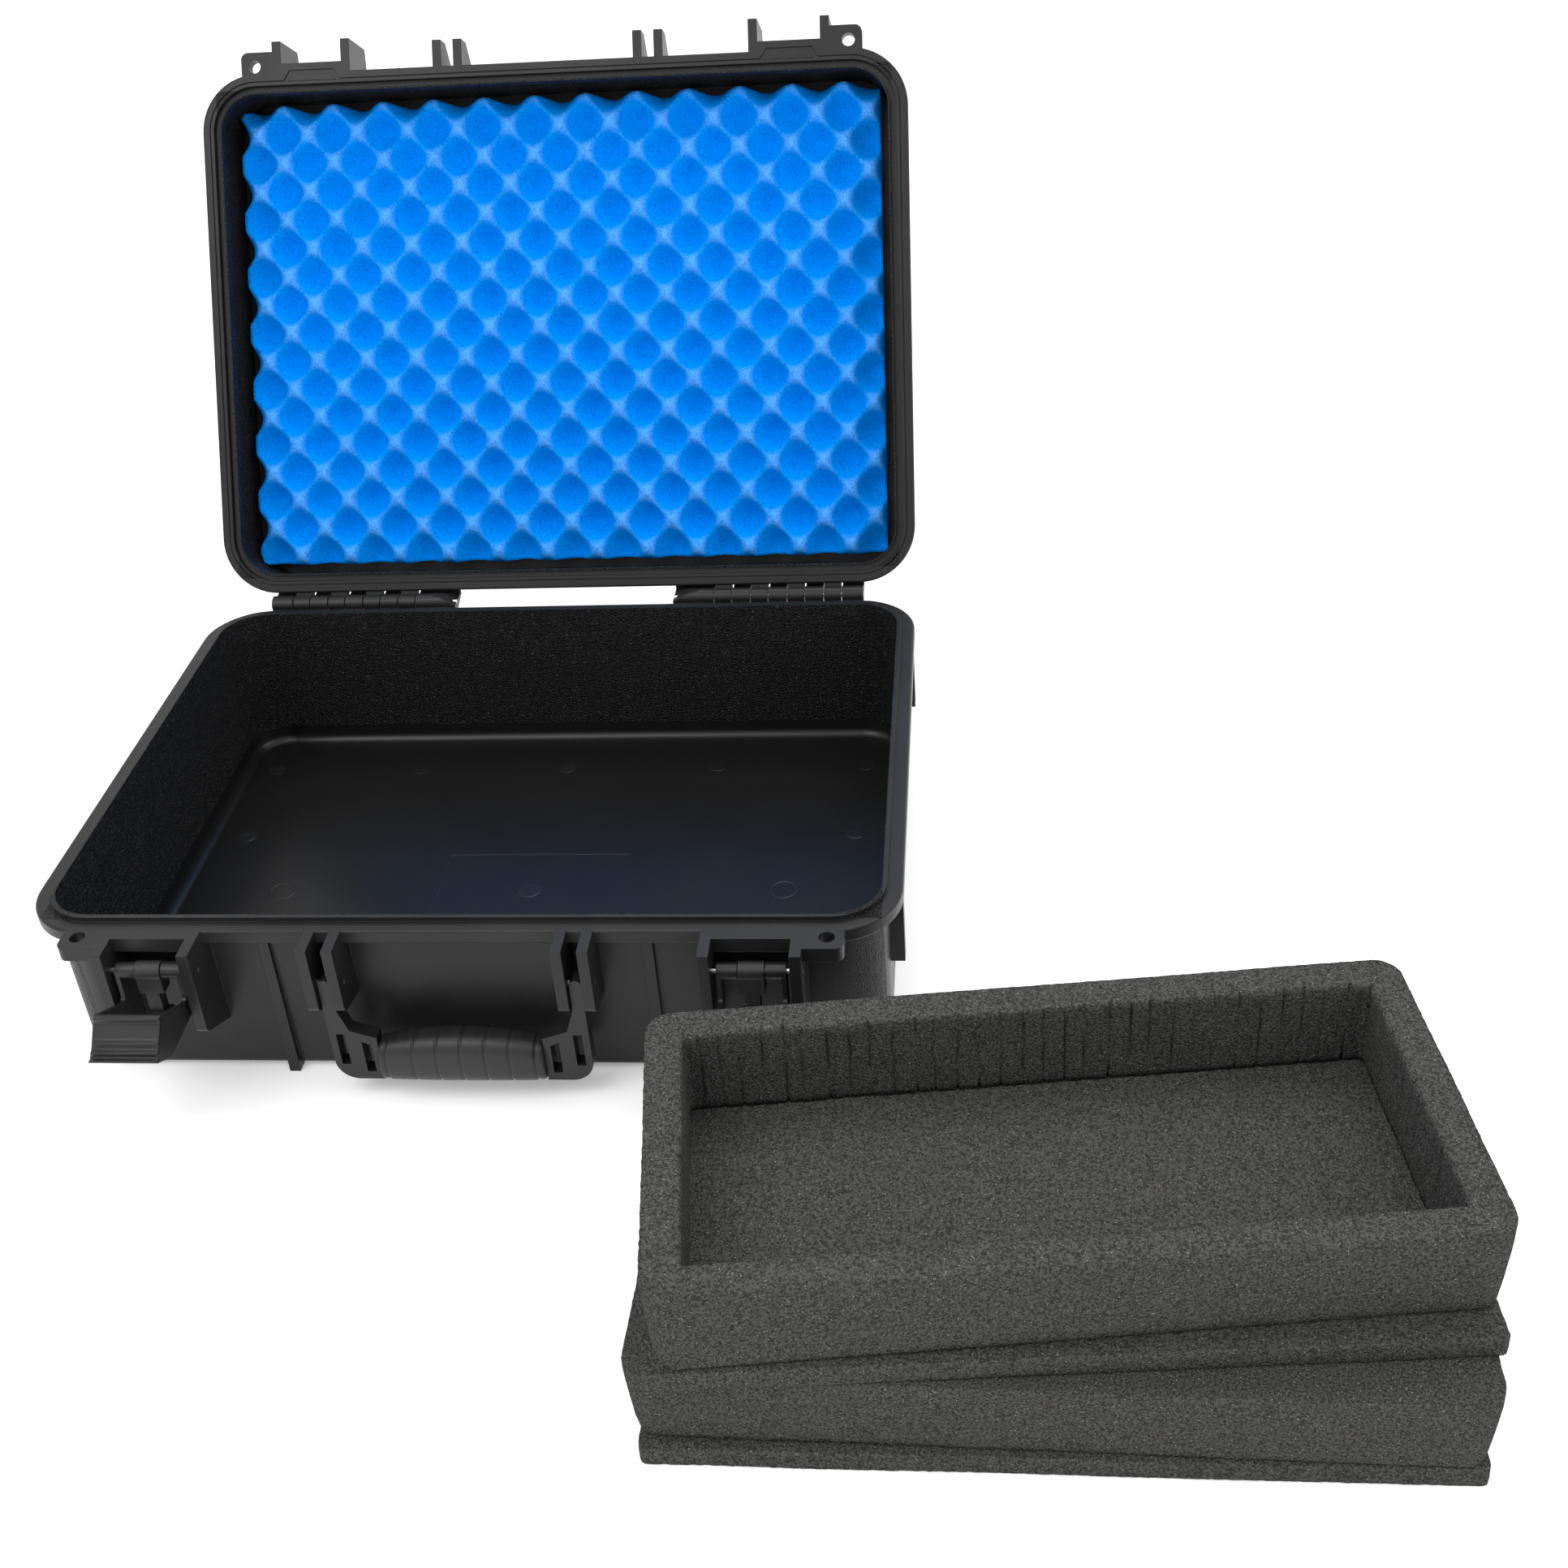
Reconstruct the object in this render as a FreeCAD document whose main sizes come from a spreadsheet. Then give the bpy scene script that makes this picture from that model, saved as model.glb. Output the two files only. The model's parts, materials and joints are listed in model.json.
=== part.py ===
"""Hard equipment case with a hinged lid, two draw latches, a carrying handle and foam inserts.

Frame: +X right, +Y back, +Z up, millimetres. The origin is the centre of the base's underside,
at the height of the skids that the case stands on. The case is built as it stands open: the lid
leans back on its stops, both latch levers are swung out and the handle hangs.
"""
import FreeCAD
import Part
import Sketcher

import math
import os
import re

SIZES = {
    # Rim shared by base and lid
    "rim_width": 505.0,
    "rim_depth": 370.0,
    "rim_corner": 40.0,
    "flange_height": 9.0,
    "flange_round": 1.5,
    "wall_inset": 8.0,
    "wall_thickness": 4.0,
    "parting_gap": 0.4,
    # Base tub
    "base_height": 110.0,
    "skid_height": 2.0,
    "floor_thickness": 4.0,
    "base_draft": 1.0,
    "floor_round": 7.0,
    "tub_round": 4.5,
    "tongue_inset": 9.0,
    "tongue_height": 3.0,
    "rib_place": 110.3,
    "rib_width": 6.5,
    "rib_proud": 2.2,
    "bumper_place": 137.0,
    "bumper_width": 10.0,
    "bumper_drop": 52.0,
    # Lid shell and seal
    "lid_height": 50.0,
    "lid_skin": 3.5,
    "lid_draft": 2.0,
    "lid_round": 9.0,
    "lid_open_angle": 116.3,
    "lid_lip_inset": 14.0,
    "groove_play": 0.7,
    "groove_depth": 6.6,
    "gasket_height": 2.6,
    "gasket_play": 0.15,
    "fin_height": 13.0,
    "fin_top": 44.0,
    "latch_fin_height": 36.5,
    "fin_corner": 3.0,
    "notch_base_half": 21.0,
    "notch_top_half": 16.0,
    "notch_outset": 1.6,
    "notch_band": 3.4,
    "rim_line_inset": 5.2,
    "rim_line_width": 0.9,
    "rim_line_depth": 0.9,
    "crown_rib_width": 12.0,
    "crown_rib_height": 2.0,
    # Hinge
    "hinge_offset": 8.2,
    "hinge_end_gap": 37.0,
    "knuckle_radius": 6.2,
    "knuckle_pitch": 26.1,
    "knuckle_width": 12.6,
    "knuckle_play": 0.8,
    "outer_knuckle_width": 15.2,
    "inner_knuckle_width": 29.0,
    "hinge_web": 4.5,
    "hinge_pin_radius": 1.5,
    "hinge_play": 0.06,
    "heel_height": 2.9,
    "heel_reach": 15.0,
    "heel_corner": 1.0,
    "cap_curve": 12.0,
    # Latch pocket, pin, lever and claw
    "latch_inset": 82.0,
    "pocket_width": 43.7,
    "ear_thickness": 6.4,
    "ear_reach": 22.0,
    "ear_drop": 55.0,
    "ear_foot_drop": 71.0,
    "ear_corner": 5.0,
    "latch_pin_reach": 13.0,
    "latch_pin_drop": 17.0,
    "latch_pin_radius": 1.5,
    "latch_play": 0.06,
    "ledge_reach": 6.5,
    "pocket_rib_reach": 5.0,
    "pocket_rib_height": 1.6,
    "pocket_rib_drop": 24.0,
    "pocket_rib_pitch": 8.5,
    "lever_width": 38.4,
    "lever_web": 2.6,
    "lever_skin": 3.0,
    "lever_hub_radius": 4.6,
    "lever_rise_reach": 36.5,
    "lever_rise_drop": 1.4,
    "lever_lip_reach": 53.5,
    "lever_lip_drop": 20.7,
    "lever_belly_reach": 38.0,
    "lever_belly_drop": 30.5,
    "lever_leg_drop": 28.5,
    "lever_leg_half": 4.6,
    "lever_skin_start": 23.0,
    "lever_lip_round": 1.5,
    "lever_belly_round": 9.0,
    "lever_leg_round": 3.0,
    "claw_width": 14.4,
    "claw_side_play": 0.45,
    "claw_knuckle_radius": 5.5,
    "claw_shank_front": 5.0,
    "claw_shank_back": 2.2,
    "claw_shank_width": 8.0,
    "claw_block_drop": 13.0,
    "claw_nose_reach": 4.0,
    "claw_nose_height": 4.4,
    "claw_nose_round": 1.0,
    "claw_grip_gap": 0.5,
    # Padlock tabs
    "tab_place": 40.5,
    "tab_half_width": 9.5,
    "tab_reach": 15.0,
    "tab_corner": 5.0,
    "padlock_radius": 4.5,
    "padlock_reach": 5.0,
    # Carrying handle
    "handle_spacing": 143.2,
    "handle_slot": 8.6,
    "handle_ear_thickness": 6.3,
    "handle_ear_reach": 18.0,
    "handle_ear_drop": 44.0,
    "handle_ear_foot_drop": 50.0,
    "handle_pin_reach": 10.0,
    "handle_pin_drop": 28.0,
    "handle_pin_radius": 1.5,
    "handle_play": 0.06,
    "arm_width": 7.2,
    "arm_depth": 9.0,
    "arm_length": 68.5,
    "arm_corner": 13.0,
    "arm_tip_round": 3.4,
    "arm_shoulder": 17.0,
    "arm_rim": 4.0,
    "slot_width": 5.2,
    "slot_height": 22.5,
    "slot_foot": 11.0,
    "grip_length": 96.0,
    "grip_drop": 55.5,
    "grip_end_depth": 21.0,
    "grip_end_height": 26.0,
    "grip_middle_depth": 25.0,
    "grip_middle_height": 35.0,
    "grip_core_radius": 5.0,
    "grip_flat": 1.5,
    "grip_play": 0.1,
    # Lid foam
    "lid_foam_play": 7.5,
    "lid_foam_height": 27.0,
    "lid_foam_corner": 12.0,
    "foam_glue": 0.3,
    # Loose foam inserts
    "insert_width": 385.0,
    "insert_depth": 186.0,
    "insert_corner": 26.0,
    "insert_wall": 19.0,
    "insert_cavity_corner": 3.0,
    "insert_case_gap": 4.5,
    "insert_side_shift": 155.5,
    "pad_thickness": 12.0,
    "pad_corner": 4.0,
    "block_thickness": 46.0,
    "block_width": 392.0,
    "block_yaw": -1.0,
    "upper_pad_yaw": 4.5,
    "upper_pad_advance": 9.0,
    "frame_thickness": 51.0,
    "frame_yaw": 6.8,
    "frame_advance": 14.0,
}

SMALLEST_CUT = 1.0  # cubic millimetres

doc = FreeCAD.newDocument("hard_equipment_case")
sheet = doc.addObject("Spreadsheet::Sheet", "Sizes")
for row, (alias, number) in enumerate(SIZES.items(), start=1):
    sheet.set(f"A{row}", alias)
    sheet.set(f"B{row}", str(number))
    sheet.setAlias(f"B{row}", alias)
doc.recompute()

PIECES = []


# ---- Size formulas: words joined by + and -, each a number, an alias, 2*alias or alias/2 ----

def factor(text):
    """Value of a plain number or of one named size."""
    if text[0].isdigit():
        return float(text)
    return float(sheet.get(text))


def word_value(word):
    """Value of one word such as 2*wall_thickness or rim_width/2."""
    result = 1.0
    for product in word.split("*"):
        first, *divisors = product.split("/")
        result *= factor(first)
        for divisor in divisors:
            result /= factor(divisor)
    return result


def value(text):
    """Value of a whole size formula."""
    total = 0.0
    sign = 1.0
    for word in text.split():
        if word in ("+", "-"):
            sign = 1.0 if word == "+" else -1.0
        else:
            total += sign * word_value(word)
            sign = 1.0
    return total


def formula(text):
    """The same size formula, as an expression on the spreadsheet."""
    return re.sub(r"[a-z][a-z_]*", r"Sizes.\g<0>", text)


def negative(text):
    """A size formula with every sign turned over."""
    words = text.split()
    if words[0] not in ("+", "-"):
        words.insert(0, "+")
    swap = {"+": "-", "-": "+"}
    return " ".join(swap.get(word, word) for word in words)


# ---- Bodies and sketches ----

def new_body(name):
    """A PartDesign body that is one sub-part of the case."""
    body = doc.addObject("PartDesign::Body", name)
    body.Label = name
    PIECES.append(body)
    return body


def origin_plane(body, role):
    """One of the body's own origin planes."""
    return next(item for item in body.Origin.OriginFeatures if item.Role == role)


def new_sketch(body, name, plane, offset):
    """An empty sketch on an origin plane, moved along the plane's normal."""
    sketch = body.newObject("Sketcher::SketchObject", name)
    sketch.AttachmentSupport = (origin_plane(body, plane), [""])
    sketch.MapMode = "FlatFace"
    if offset:
        sketch.setExpression(".AttachmentOffset.Base.z", formula(offset))
    return sketch


def driven(kind, places, text):
    """A dimension and the size formula that drives it."""
    return Sketcher.Constraint(kind, *places, value(text)), text


def fixed_point(geometry, point, x_text, y_text):
    """Constraints that hold one sketch point at its two size formulas."""
    held = []
    for kind, text, axis in (("DistanceX", x_text, -2), ("DistanceY", y_text, -1)):
        if text == "0":
            held.append((Sketcher.Constraint("PointOnObject", geometry, point, axis), ""))
        else:
            held.append(driven(kind, (-1, 1, geometry, point), text))
    return held


def constrain(sketch, constraints):
    """Adds constraints in one go and ties each dimension to its formula."""
    indices = sketch.addConstraint([constraint for constraint, text in constraints])
    for index, (constraint, text) in zip(indices, constraints):
        if text:
            sketch.renameConstraint(index, f"size_{index}")
            sketch.setExpression(f"Constraints.size_{index}", formula(text))


def corner_arc(corner, before, after, radius):
    """Start, end, centre and turning side of the arc that rounds one corner."""
    back = (before - corner).normalize()
    ahead = (after - corner).normalize()
    half = math.acos(back.dot(ahead)) / 2
    reach = radius / math.tan(half)
    centre = corner + (back + ahead).normalize() * (radius / math.sin(half))
    turns_left = back.cross(ahead).z < 0
    return corner + back * reach, corner + ahead * reach, centre, turns_left


def draw_loop(sketch, corners):
    """Draws one closed loop through corners, each (x, y) or (x, y, radius) in size formulas."""
    first = sketch.GeometryCount
    count = len(corners)
    points = [FreeCAD.Vector(value(corner[0]), value(corner[1]), 0) for corner in corners]
    arcs = []
    for index, corner in enumerate(corners):
        if len(corner) < 3:
            arcs.append(None)
            continue
        neighbours = points[index - 1], points[(index + 1) % count]
        arcs.append(corner_arc(points[index], *neighbours, value(corner[2])))
    for index in range(count):
        following = (index + 1) % count
        start = arcs[index][1] if arcs[index] else points[index]
        end = arcs[following][0] if arcs[following] else points[following]
        sketch.addGeometry(Part.LineSegment(start, end), False)
    constraints = []
    for index, corner in enumerate(corners):
        line_in = first + (index - 1) % count
        line_out = first + index
        if arcs[index] is None:
            joined = Sketcher.Constraint("Coincident", line_in, 2, line_out, 1)
            constraints.append((joined, ""))
            constraints += fixed_point(line_out, 1, corner[0], corner[1])
            continue
        start, end, centre, turns_left = arcs[index]
        ordered = (start, end) if turns_left else (end, start)
        angles = [math.atan2(spot.y - centre.y, spot.x - centre.x) for spot in ordered]
        round_shape = Part.Circle(centre, FreeCAD.Vector(0, 0, 1), value(corner[2]))
        arc = sketch.addGeometry(Part.ArcOfCircle(round_shape, *angles), False)
        ends = (1, 2) if turns_left else (2, 1)
        vertex = sketch.addGeometry(Part.Point(points[index]), True)
        constraints += [
            (Sketcher.Constraint("Tangent", line_in, 2, arc, ends[0]), ""),
            (Sketcher.Constraint("Tangent", arc, ends[1], line_out, 1), ""),
            driven("Radius", (arc,), corner[2]),
            (Sketcher.Constraint("PointOnObject", vertex, 1, line_in), ""),
            (Sketcher.Constraint("PointOnObject", vertex, 1, line_out), ""),
        ]
        constraints += fixed_point(vertex, 1, corner[0], corner[1])
    constrain(sketch, constraints)


def outline(body, name, plane, corners, offset="", hole=()):
    """Closed sketch through corners, with an optional second loop as its hole."""
    sketch = new_sketch(body, name, plane, offset)
    draw_loop(sketch, corners)
    if hole:
        draw_loop(sketch, hole)
    return sketch


def rounded_rectangle(half_width, half_depth, radius):
    """Corners of a rounded rectangle about the origin, for outline()."""
    return [
        (half_width, half_depth, radius),
        (negative(half_width), half_depth, radius),
        (negative(half_width), negative(half_depth), radius),
        (half_width, negative(half_depth), radius),
    ]


def inset_rectangle(*insets):
    """The rim's rounded rectangle, drawn in by the sum of the insets."""
    sides = ("rim_width/2", "rim_depth/2", "rim_corner")
    return rounded_rectangle(*(" - ".join((side, *insets)) for side in sides))


def rectangle(left, right, front, back):
    """Corners of a plain rectangle, for outline()."""
    return [(left, front), (right, front), (right, back), (left, back)]


def circle(body, name, plane, x_text, y_text, radius, offset=""):
    """Sketch of one circle."""
    sketch = new_sketch(body, name, plane, offset)
    centre = FreeCAD.Vector(value(x_text), value(y_text), 0)
    shape = Part.Circle(centre, FreeCAD.Vector(0, 0, 1), value(radius))
    index = sketch.addGeometry(shape, False)
    constrain(sketch, fixed_point(index, 3, x_text, y_text) + [driven("Radius", (index,), radius)])
    return sketch


# ---- Features ----

def pad(body, sketch, length, reverse=False, symmetric=False, taper=""):
    """Adds material along the sketch's normal."""
    feature = body.newObject("PartDesign::Pad", f"{sketch.Name}_pad")
    feature.Profile = sketch
    feature.Reversed = reverse
    if symmetric:
        feature.SideType = "Symmetric"
    feature.setExpression("Length", formula(length))
    if taper:
        feature.setExpression("TaperAngle", formula(taper))
    return feature


def pocket(body, sketch, length="", reverse=False, symmetric=False, taper=""):
    """Cuts against the sketch's normal, or right through when no length is given."""
    feature = body.newObject("PartDesign::Pocket", f"{sketch.Name}_cut")
    feature.Profile = sketch
    feature.Reversed = reverse
    if symmetric:
        feature.SideType = "Symmetric"
    if length:
        feature.setExpression("Length", formula(length))
    else:
        feature.Type = "ThroughAll"
        feature.Type2 = "ThroughAll"
        feature.SideType = "Two sides"
    if taper:
        feature.setExpression("TaperAngle", formula(taper))
    return feature


def mirror(body, features, name):
    """Repeats features on the other side of the body's YZ plane."""
    feature = body.newObject("PartDesign::Mirrored", name)
    feature.Originals = features
    feature.MirrorPlane = (origin_plane(body, "YZ_Plane"), [""])
    body.Tip = feature
    return feature


def round_edges(body, name, radius, chosen):
    """Fillets the edges of the body's last feature that the chosen test accepts."""
    doc.recompute()
    base = body.Tip
    names = [f"Edge{index}" for index, edge in enumerate(base.Shape.Edges, start=1) if chosen(edge)]
    feature = body.newObject("PartDesign::Fillet", name)
    feature.Base = (base, names)
    feature.setExpression("Radius", formula(radius))
    return feature


def flat_at(height):
    """Test for edges that lie wholly at one height."""
    def chosen(edge):
        box = edge.BoundBox
        return abs(box.ZMin - height) < 0.01 and abs(box.ZMax - height) < 0.01
    return chosen


# ---- Shared places, as size formulas in the base's frame ----

RIM_HEIGHT = "base_height"
FRONT = "- rim_depth/2"
FRONT_WALL = "- rim_depth/2 + wall_inset"
LATCH_X = "rim_width/2 - latch_inset"
LATCH_PIN_Y = "- rim_depth/2 - latch_pin_reach"
HANDLE_PIN_Y = "- rim_depth/2 - handle_pin_reach"
HINGE_Y = "rim_depth/2 + hinge_offset"
LATCH_PIN_LENGTH = "pocket_width + 2*ear_thickness"
HANDLE_PIN_LENGTH = "handle_slot + 2*handle_ear_thickness"
HINGE_PIN_LENGTH = "outer_knuckle_width + 4*knuckle_pitch - knuckle_width + inner_knuckle_width"
HINGE_PIN_X = ("rim_width/2 - hinge_end_gap - outer_knuckle_width - 4*knuckle_pitch"
               " + knuckle_width - inner_knuckle_width")
WALL_ROOT = "wall_thickness/2"
# Insets are taken off one after another, so a "+" word in one widens the outline again
GROOVE_OUTSIDE = ("tongue_inset + groove_play",)
GROOVE_INSIDE = ("wall_inset", "wall_thickness", "groove_play")
INSERT_X = f"{LATCH_X} + insert_side_shift"
INSERT_Y = f"{LATCH_PIN_Y} - lever_lip_reach - insert_case_gap - insert_depth/2"


def hinge_slots():
    """Near and far X of the gaps between base knuckles, right-hand side, from the outside in."""
    slots = []
    far = "rim_width/2 - hinge_end_gap - outer_knuckle_width"
    for index in range(4):
        near = f"{far} - knuckle_pitch + knuckle_width"
        slots.append((near, far))
        far = f"{far} - knuckle_pitch"
    return slots


def front_plates():
    """Near X and thickness of the four plates on the right-hand half of the front."""
    ear = "ear_thickness"
    handle_ear = "handle_ear_thickness"
    return {
        "latch_inner": (f"{LATCH_X} - pocket_width/2 - ear_thickness", ear),
        "latch_outer": (f"{LATCH_X} + pocket_width/2", ear),
        "handle_inner": ("handle_spacing/2 - handle_slot/2 - handle_ear_thickness", handle_ear),
        "handle_outer": ("handle_spacing/2 + handle_slot/2", handle_ear),
    }


# ---- Base ----

def base_plates(body):
    """Ears that carry the latch pins and the handle pins."""
    features = []
    for place, (near, thickness) in front_plates().items():
        latch = place.startswith("latch")
        reach = "ear_reach" if latch else "handle_ear_reach"
        drop = "ear_drop" if latch else "handle_ear_drop"
        foot = "ear_foot_drop" if latch else "handle_ear_foot_drop"
        corners = [
            (f"{FRONT_WALL} + {WALL_ROOT}", RIM_HEIGHT),
            (f"{FRONT} - {reach}", RIM_HEIGHT),
            (f"{FRONT} - {reach}", f"{RIM_HEIGHT} - {drop}", "ear_corner"),
            (f"{FRONT_WALL} + {WALL_ROOT}", f"{RIM_HEIGHT} - {foot}"),
        ]
        sketch = outline(body, f"base_{place}", "YZ_Plane", corners, near)
        features.append(pad(body, sketch, thickness))
    return features


def front_tabs(body, name, height, downward):
    """Catch ledge between the latch plates and the padlock tab beside them."""
    near = f"{LATCH_X} - pocket_width/2 - ear_thickness/2"
    far = f"{LATCH_X} + pocket_width/2 + ear_thickness/2"
    ledge = rectangle(near, far, f"{FRONT} - ledge_reach", f"{FRONT} + flange_round + wall_inset/2")
    features = [pad(body, outline(body, f"{name}_ledge", "XY_Plane", ledge, height),
                    "flange_height", reverse=downward)]
    tab_far = "rim_width/2 - tab_place + tab_half_width"
    tab = [
        (f"{LATCH_X} + pocket_width/2 + ear_thickness/2", f"{FRONT} + flange_round + wall_inset/2"),
        (f"{LATCH_X} + pocket_width/2 + ear_thickness/2", f"{FRONT} - tab_reach"),
        (tab_far, f"{FRONT} - tab_reach", "tab_corner"),
        (tab_far, f"{FRONT} + flange_round + wall_inset/2"),
    ]
    features.append(pad(body, outline(body, f"{name}_tab", "XY_Plane", tab, height),
                        "flange_height", reverse=downward))
    hole = circle(body, f"{name}_padlock", "XY_Plane", "rim_width/2 - tab_place",
                  f"{FRONT} - padlock_reach", "padlock_radius", height)
    features.append(pocket(body, hole, "flange_height", reverse=not downward))
    return features


def base_hinge(body):
    """Knuckles on the right-hand half of the back, each with a stop heel for the lid."""
    outer_far = "rim_width/2 - hinge_end_gap"
    spans = [(f"{outer_far} - outer_knuckle_width", "outer_knuckle_width")]
    for index in range(1, 4):
        near = f"{outer_far} - outer_knuckle_width - {index}*knuckle_pitch"
        spans.append((near, "knuckle_width"))
    inner_far = f"{outer_far} - outer_knuckle_width - 4*knuckle_pitch + knuckle_width"
    spans.append((f"{inner_far} - inner_knuckle_width", "inner_knuckle_width"))
    features = []
    for index, (near, width) in enumerate(spans):
        web = [
            (f"rim_depth/2 - {WALL_ROOT}", f"{RIM_HEIGHT} - flange_round"),
            (f"rim_depth/2 - {WALL_ROOT}", f"{RIM_HEIGHT} - flange_height"),
            (HINGE_Y, f"{RIM_HEIGHT} - knuckle_radius"),
            (f"{HINGE_Y} + heel_reach", f"{RIM_HEIGHT} + heel_height - hinge_web", "heel_corner"),
            (f"{HINGE_Y} + heel_reach", f"{RIM_HEIGHT} + heel_height"),
            (HINGE_Y, f"{RIM_HEIGHT} + heel_height"),
            (HINGE_Y, f"{RIM_HEIGHT} - flange_round"),
        ]
        sketch = outline(body, f"base_knuckle_{index}_web", "YZ_Plane", web, near)
        features.append(pad(body, sketch, width))
        barrel = circle(body, f"base_knuckle_{index}", "YZ_Plane", HINGE_Y, RIM_HEIGHT,
                        "knuckle_radius", near)
        features.append(pad(body, barrel, width))
    cap_top = f"{RIM_HEIGHT} + knuckle_radius"
    cap = [
        (f"{inner_far} - inner_knuckle_width", cap_top),
        (f"{inner_far} - inner_knuckle_width", RIM_HEIGHT),
        (f"{inner_far} - 2*inner_knuckle_width/3", f"{RIM_HEIGHT} + 3*knuckle_radius/4", "cap_curve"),
        (f"{inner_far} - inner_knuckle_width/3", cap_top),
    ]
    sketch = outline(body, "base_knuckle_cap", "XZ_Plane", cap, negative(HINGE_Y))
    features.append(pocket(body, sketch, "4*knuckle_radius", symmetric=True))
    return features


def inside_floor_edges(edge):
    """Test for the edges round the tub's floor."""
    floor = value("skid_height + floor_thickness")
    return flat_at(floor)(edge)


def build_base():
    """Moulded tub with its rim, ribs, latch ears, handle ears and hinge knuckles."""
    body = new_body("base_shell")
    rim = outline(body, "base_rim", "XY_Plane", inset_rectangle(), RIM_HEIGHT)
    pad(body, rim, "flange_height", reverse=True)
    round_edges(body, "base_rim_round", "flange_round", lambda edge: True)
    tongue = outline(body, "base_tongue", "XY_Plane", inset_rectangle("tongue_inset"), RIM_HEIGHT)
    pad(body, tongue, "tongue_height")
    tub = outline(body, "base_tub", "XY_Plane", inset_rectangle("wall_inset"),
                  f"{RIM_HEIGHT} - flange_height/2")
    pad(body, tub, "base_height - flange_height/2 - skid_height", reverse=True, taper="- base_draft")
    round_edges(body, "base_tub_round", "tub_round", flat_at(value("skid_height")))
    features = []
    skid = rectangle("rib_place - rib_width/2", "rib_place + rib_width/2",
                     f"{FRONT_WALL} - rib_proud", "- rim_depth/2 + 3*wall_inset")
    sketch = outline(body, "base_rib", "XY_Plane", skid)
    features.append(pad(body, sketch, "base_height - flange_height/2"))
    middle = rectangle("- rib_width/2", "rib_width/2", "- rim_depth/2 + 3*wall_inset",
                       "rim_depth/2 - 3*wall_inset")
    pad(body, outline(body, "base_middle_skid", "XY_Plane", middle), "2*skid_height")
    rail = rectangle("rib_place - rib_width/2", "rib_place + rib_width/2",
                     "- rim_depth/2 + 2*wall_inset", "rim_depth/2 - 2*wall_inset")
    features.append(pad(body, outline(body, "base_skid", "XY_Plane", rail), "2*skid_height"))
    for side, place in (("front", "- bumper_place"), ("back", "bumper_place")):
        span = rectangle("rim_width/2 - 2*wall_inset", "rim_width/2 - flange_round/2",
                         f"{place} - bumper_width/2", f"{place} + bumper_width/2")
        sketch = outline(body, f"base_bumper_{side}", "XY_Plane", span,
                         f"{RIM_HEIGHT} - flange_height/2")
        features.append(pad(body, sketch, "bumper_drop", reverse=True))
    for index in range(3):
        drop = f"pocket_rib_drop + {index}*pocket_rib_pitch"
        rib = rectangle(f"{FRONT_WALL} - pocket_rib_reach", f"{FRONT_WALL} + {WALL_ROOT}",
                        f"{RIM_HEIGHT} - {drop} - pocket_rib_height", f"{RIM_HEIGHT} - {drop}")
        sketch = outline(body, f"base_pocket_rib_{index}", "YZ_Plane", rib,
                         f"{LATCH_X} - pocket_width/2 - ear_thickness/2")
        features.append(pad(body, sketch, "pocket_width + ear_thickness"))
    features += base_plates(body)
    features += front_tabs(body, "base", RIM_HEIGHT, downward=True)
    features += base_hinge(body)
    bores = (
        ("latch", f"{LATCH_X} - pocket_width/2 - ear_thickness", LATCH_PIN_Y,
         "latch_pin_drop", "latch_pin_radius", LATCH_PIN_LENGTH),
        ("handle", "handle_spacing/2 - handle_slot/2 - handle_ear_thickness", HANDLE_PIN_Y,
         "handle_pin_drop", "handle_pin_radius", HANDLE_PIN_LENGTH),
    )
    for name, near, pin_y, drop, radius, length in bores:
        bore = circle(body, f"base_{name}_bore", "YZ_Plane", pin_y, f"{RIM_HEIGHT} - {drop}",
                      radius, near)
        features.append(pocket(body, bore, length, reverse=True))
    mirror(body, features, "base_mirror")
    hinge_bore = circle(body, "base_hinge_bore", "YZ_Plane", HINGE_Y, RIM_HEIGHT,
                        "hinge_pin_radius")
    pocket(body, hinge_bore)
    inside = outline(body, "base_inside", "XY_Plane", inset_rectangle("wall_inset", "wall_thickness"),
                     f"{RIM_HEIGHT} + tongue_height")
    inside_depth = "base_height + tongue_height - skid_height - floor_thickness"
    pocket(body, inside, inside_depth, taper="- base_draft")
    round_edges(body, "base_floor_round", "floor_round", inside_floor_edges)
    return body


# ---- Lid, drawn closed about the middle of the parting plane, then turned open ----

def lid_fins(body):
    """Plates that stand over the base's ears when the lid is shut."""
    features = []
    for place, (near, thickness) in front_plates().items():
        latch = place.startswith("latch")
        reach = "ear_reach" if latch else "handle_ear_reach"
        height = "latch_fin_height" if latch else "fin_height"
        corners = [
            (f"{FRONT_WALL} + {WALL_ROOT}", "parting_gap"),
            (f"{FRONT} - {reach}", "parting_gap"),
            (f"{FRONT} - {reach}", f"parting_gap + {height}", "fin_corner"),
            (f"{FRONT_WALL} + {WALL_ROOT}", "parting_gap + fin_top"),
        ]
        sketch = outline(body, f"lid_{place}", "YZ_Plane", corners, near)
        features.append(pad(body, sketch, thickness))
    return features


def rim_notch(shrink, near, far):
    """Trapezium round a latch place on the lid's parting face, drawn in by shrink."""
    return [
        (f"{LATCH_X} - notch_base_half + {shrink}", near),
        (f"{LATCH_X} + notch_base_half - {shrink}", near),
        (f"{LATCH_X} + notch_top_half - {shrink}", far),
        (f"{LATCH_X} - notch_top_half + {shrink}", far),
    ]


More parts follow.
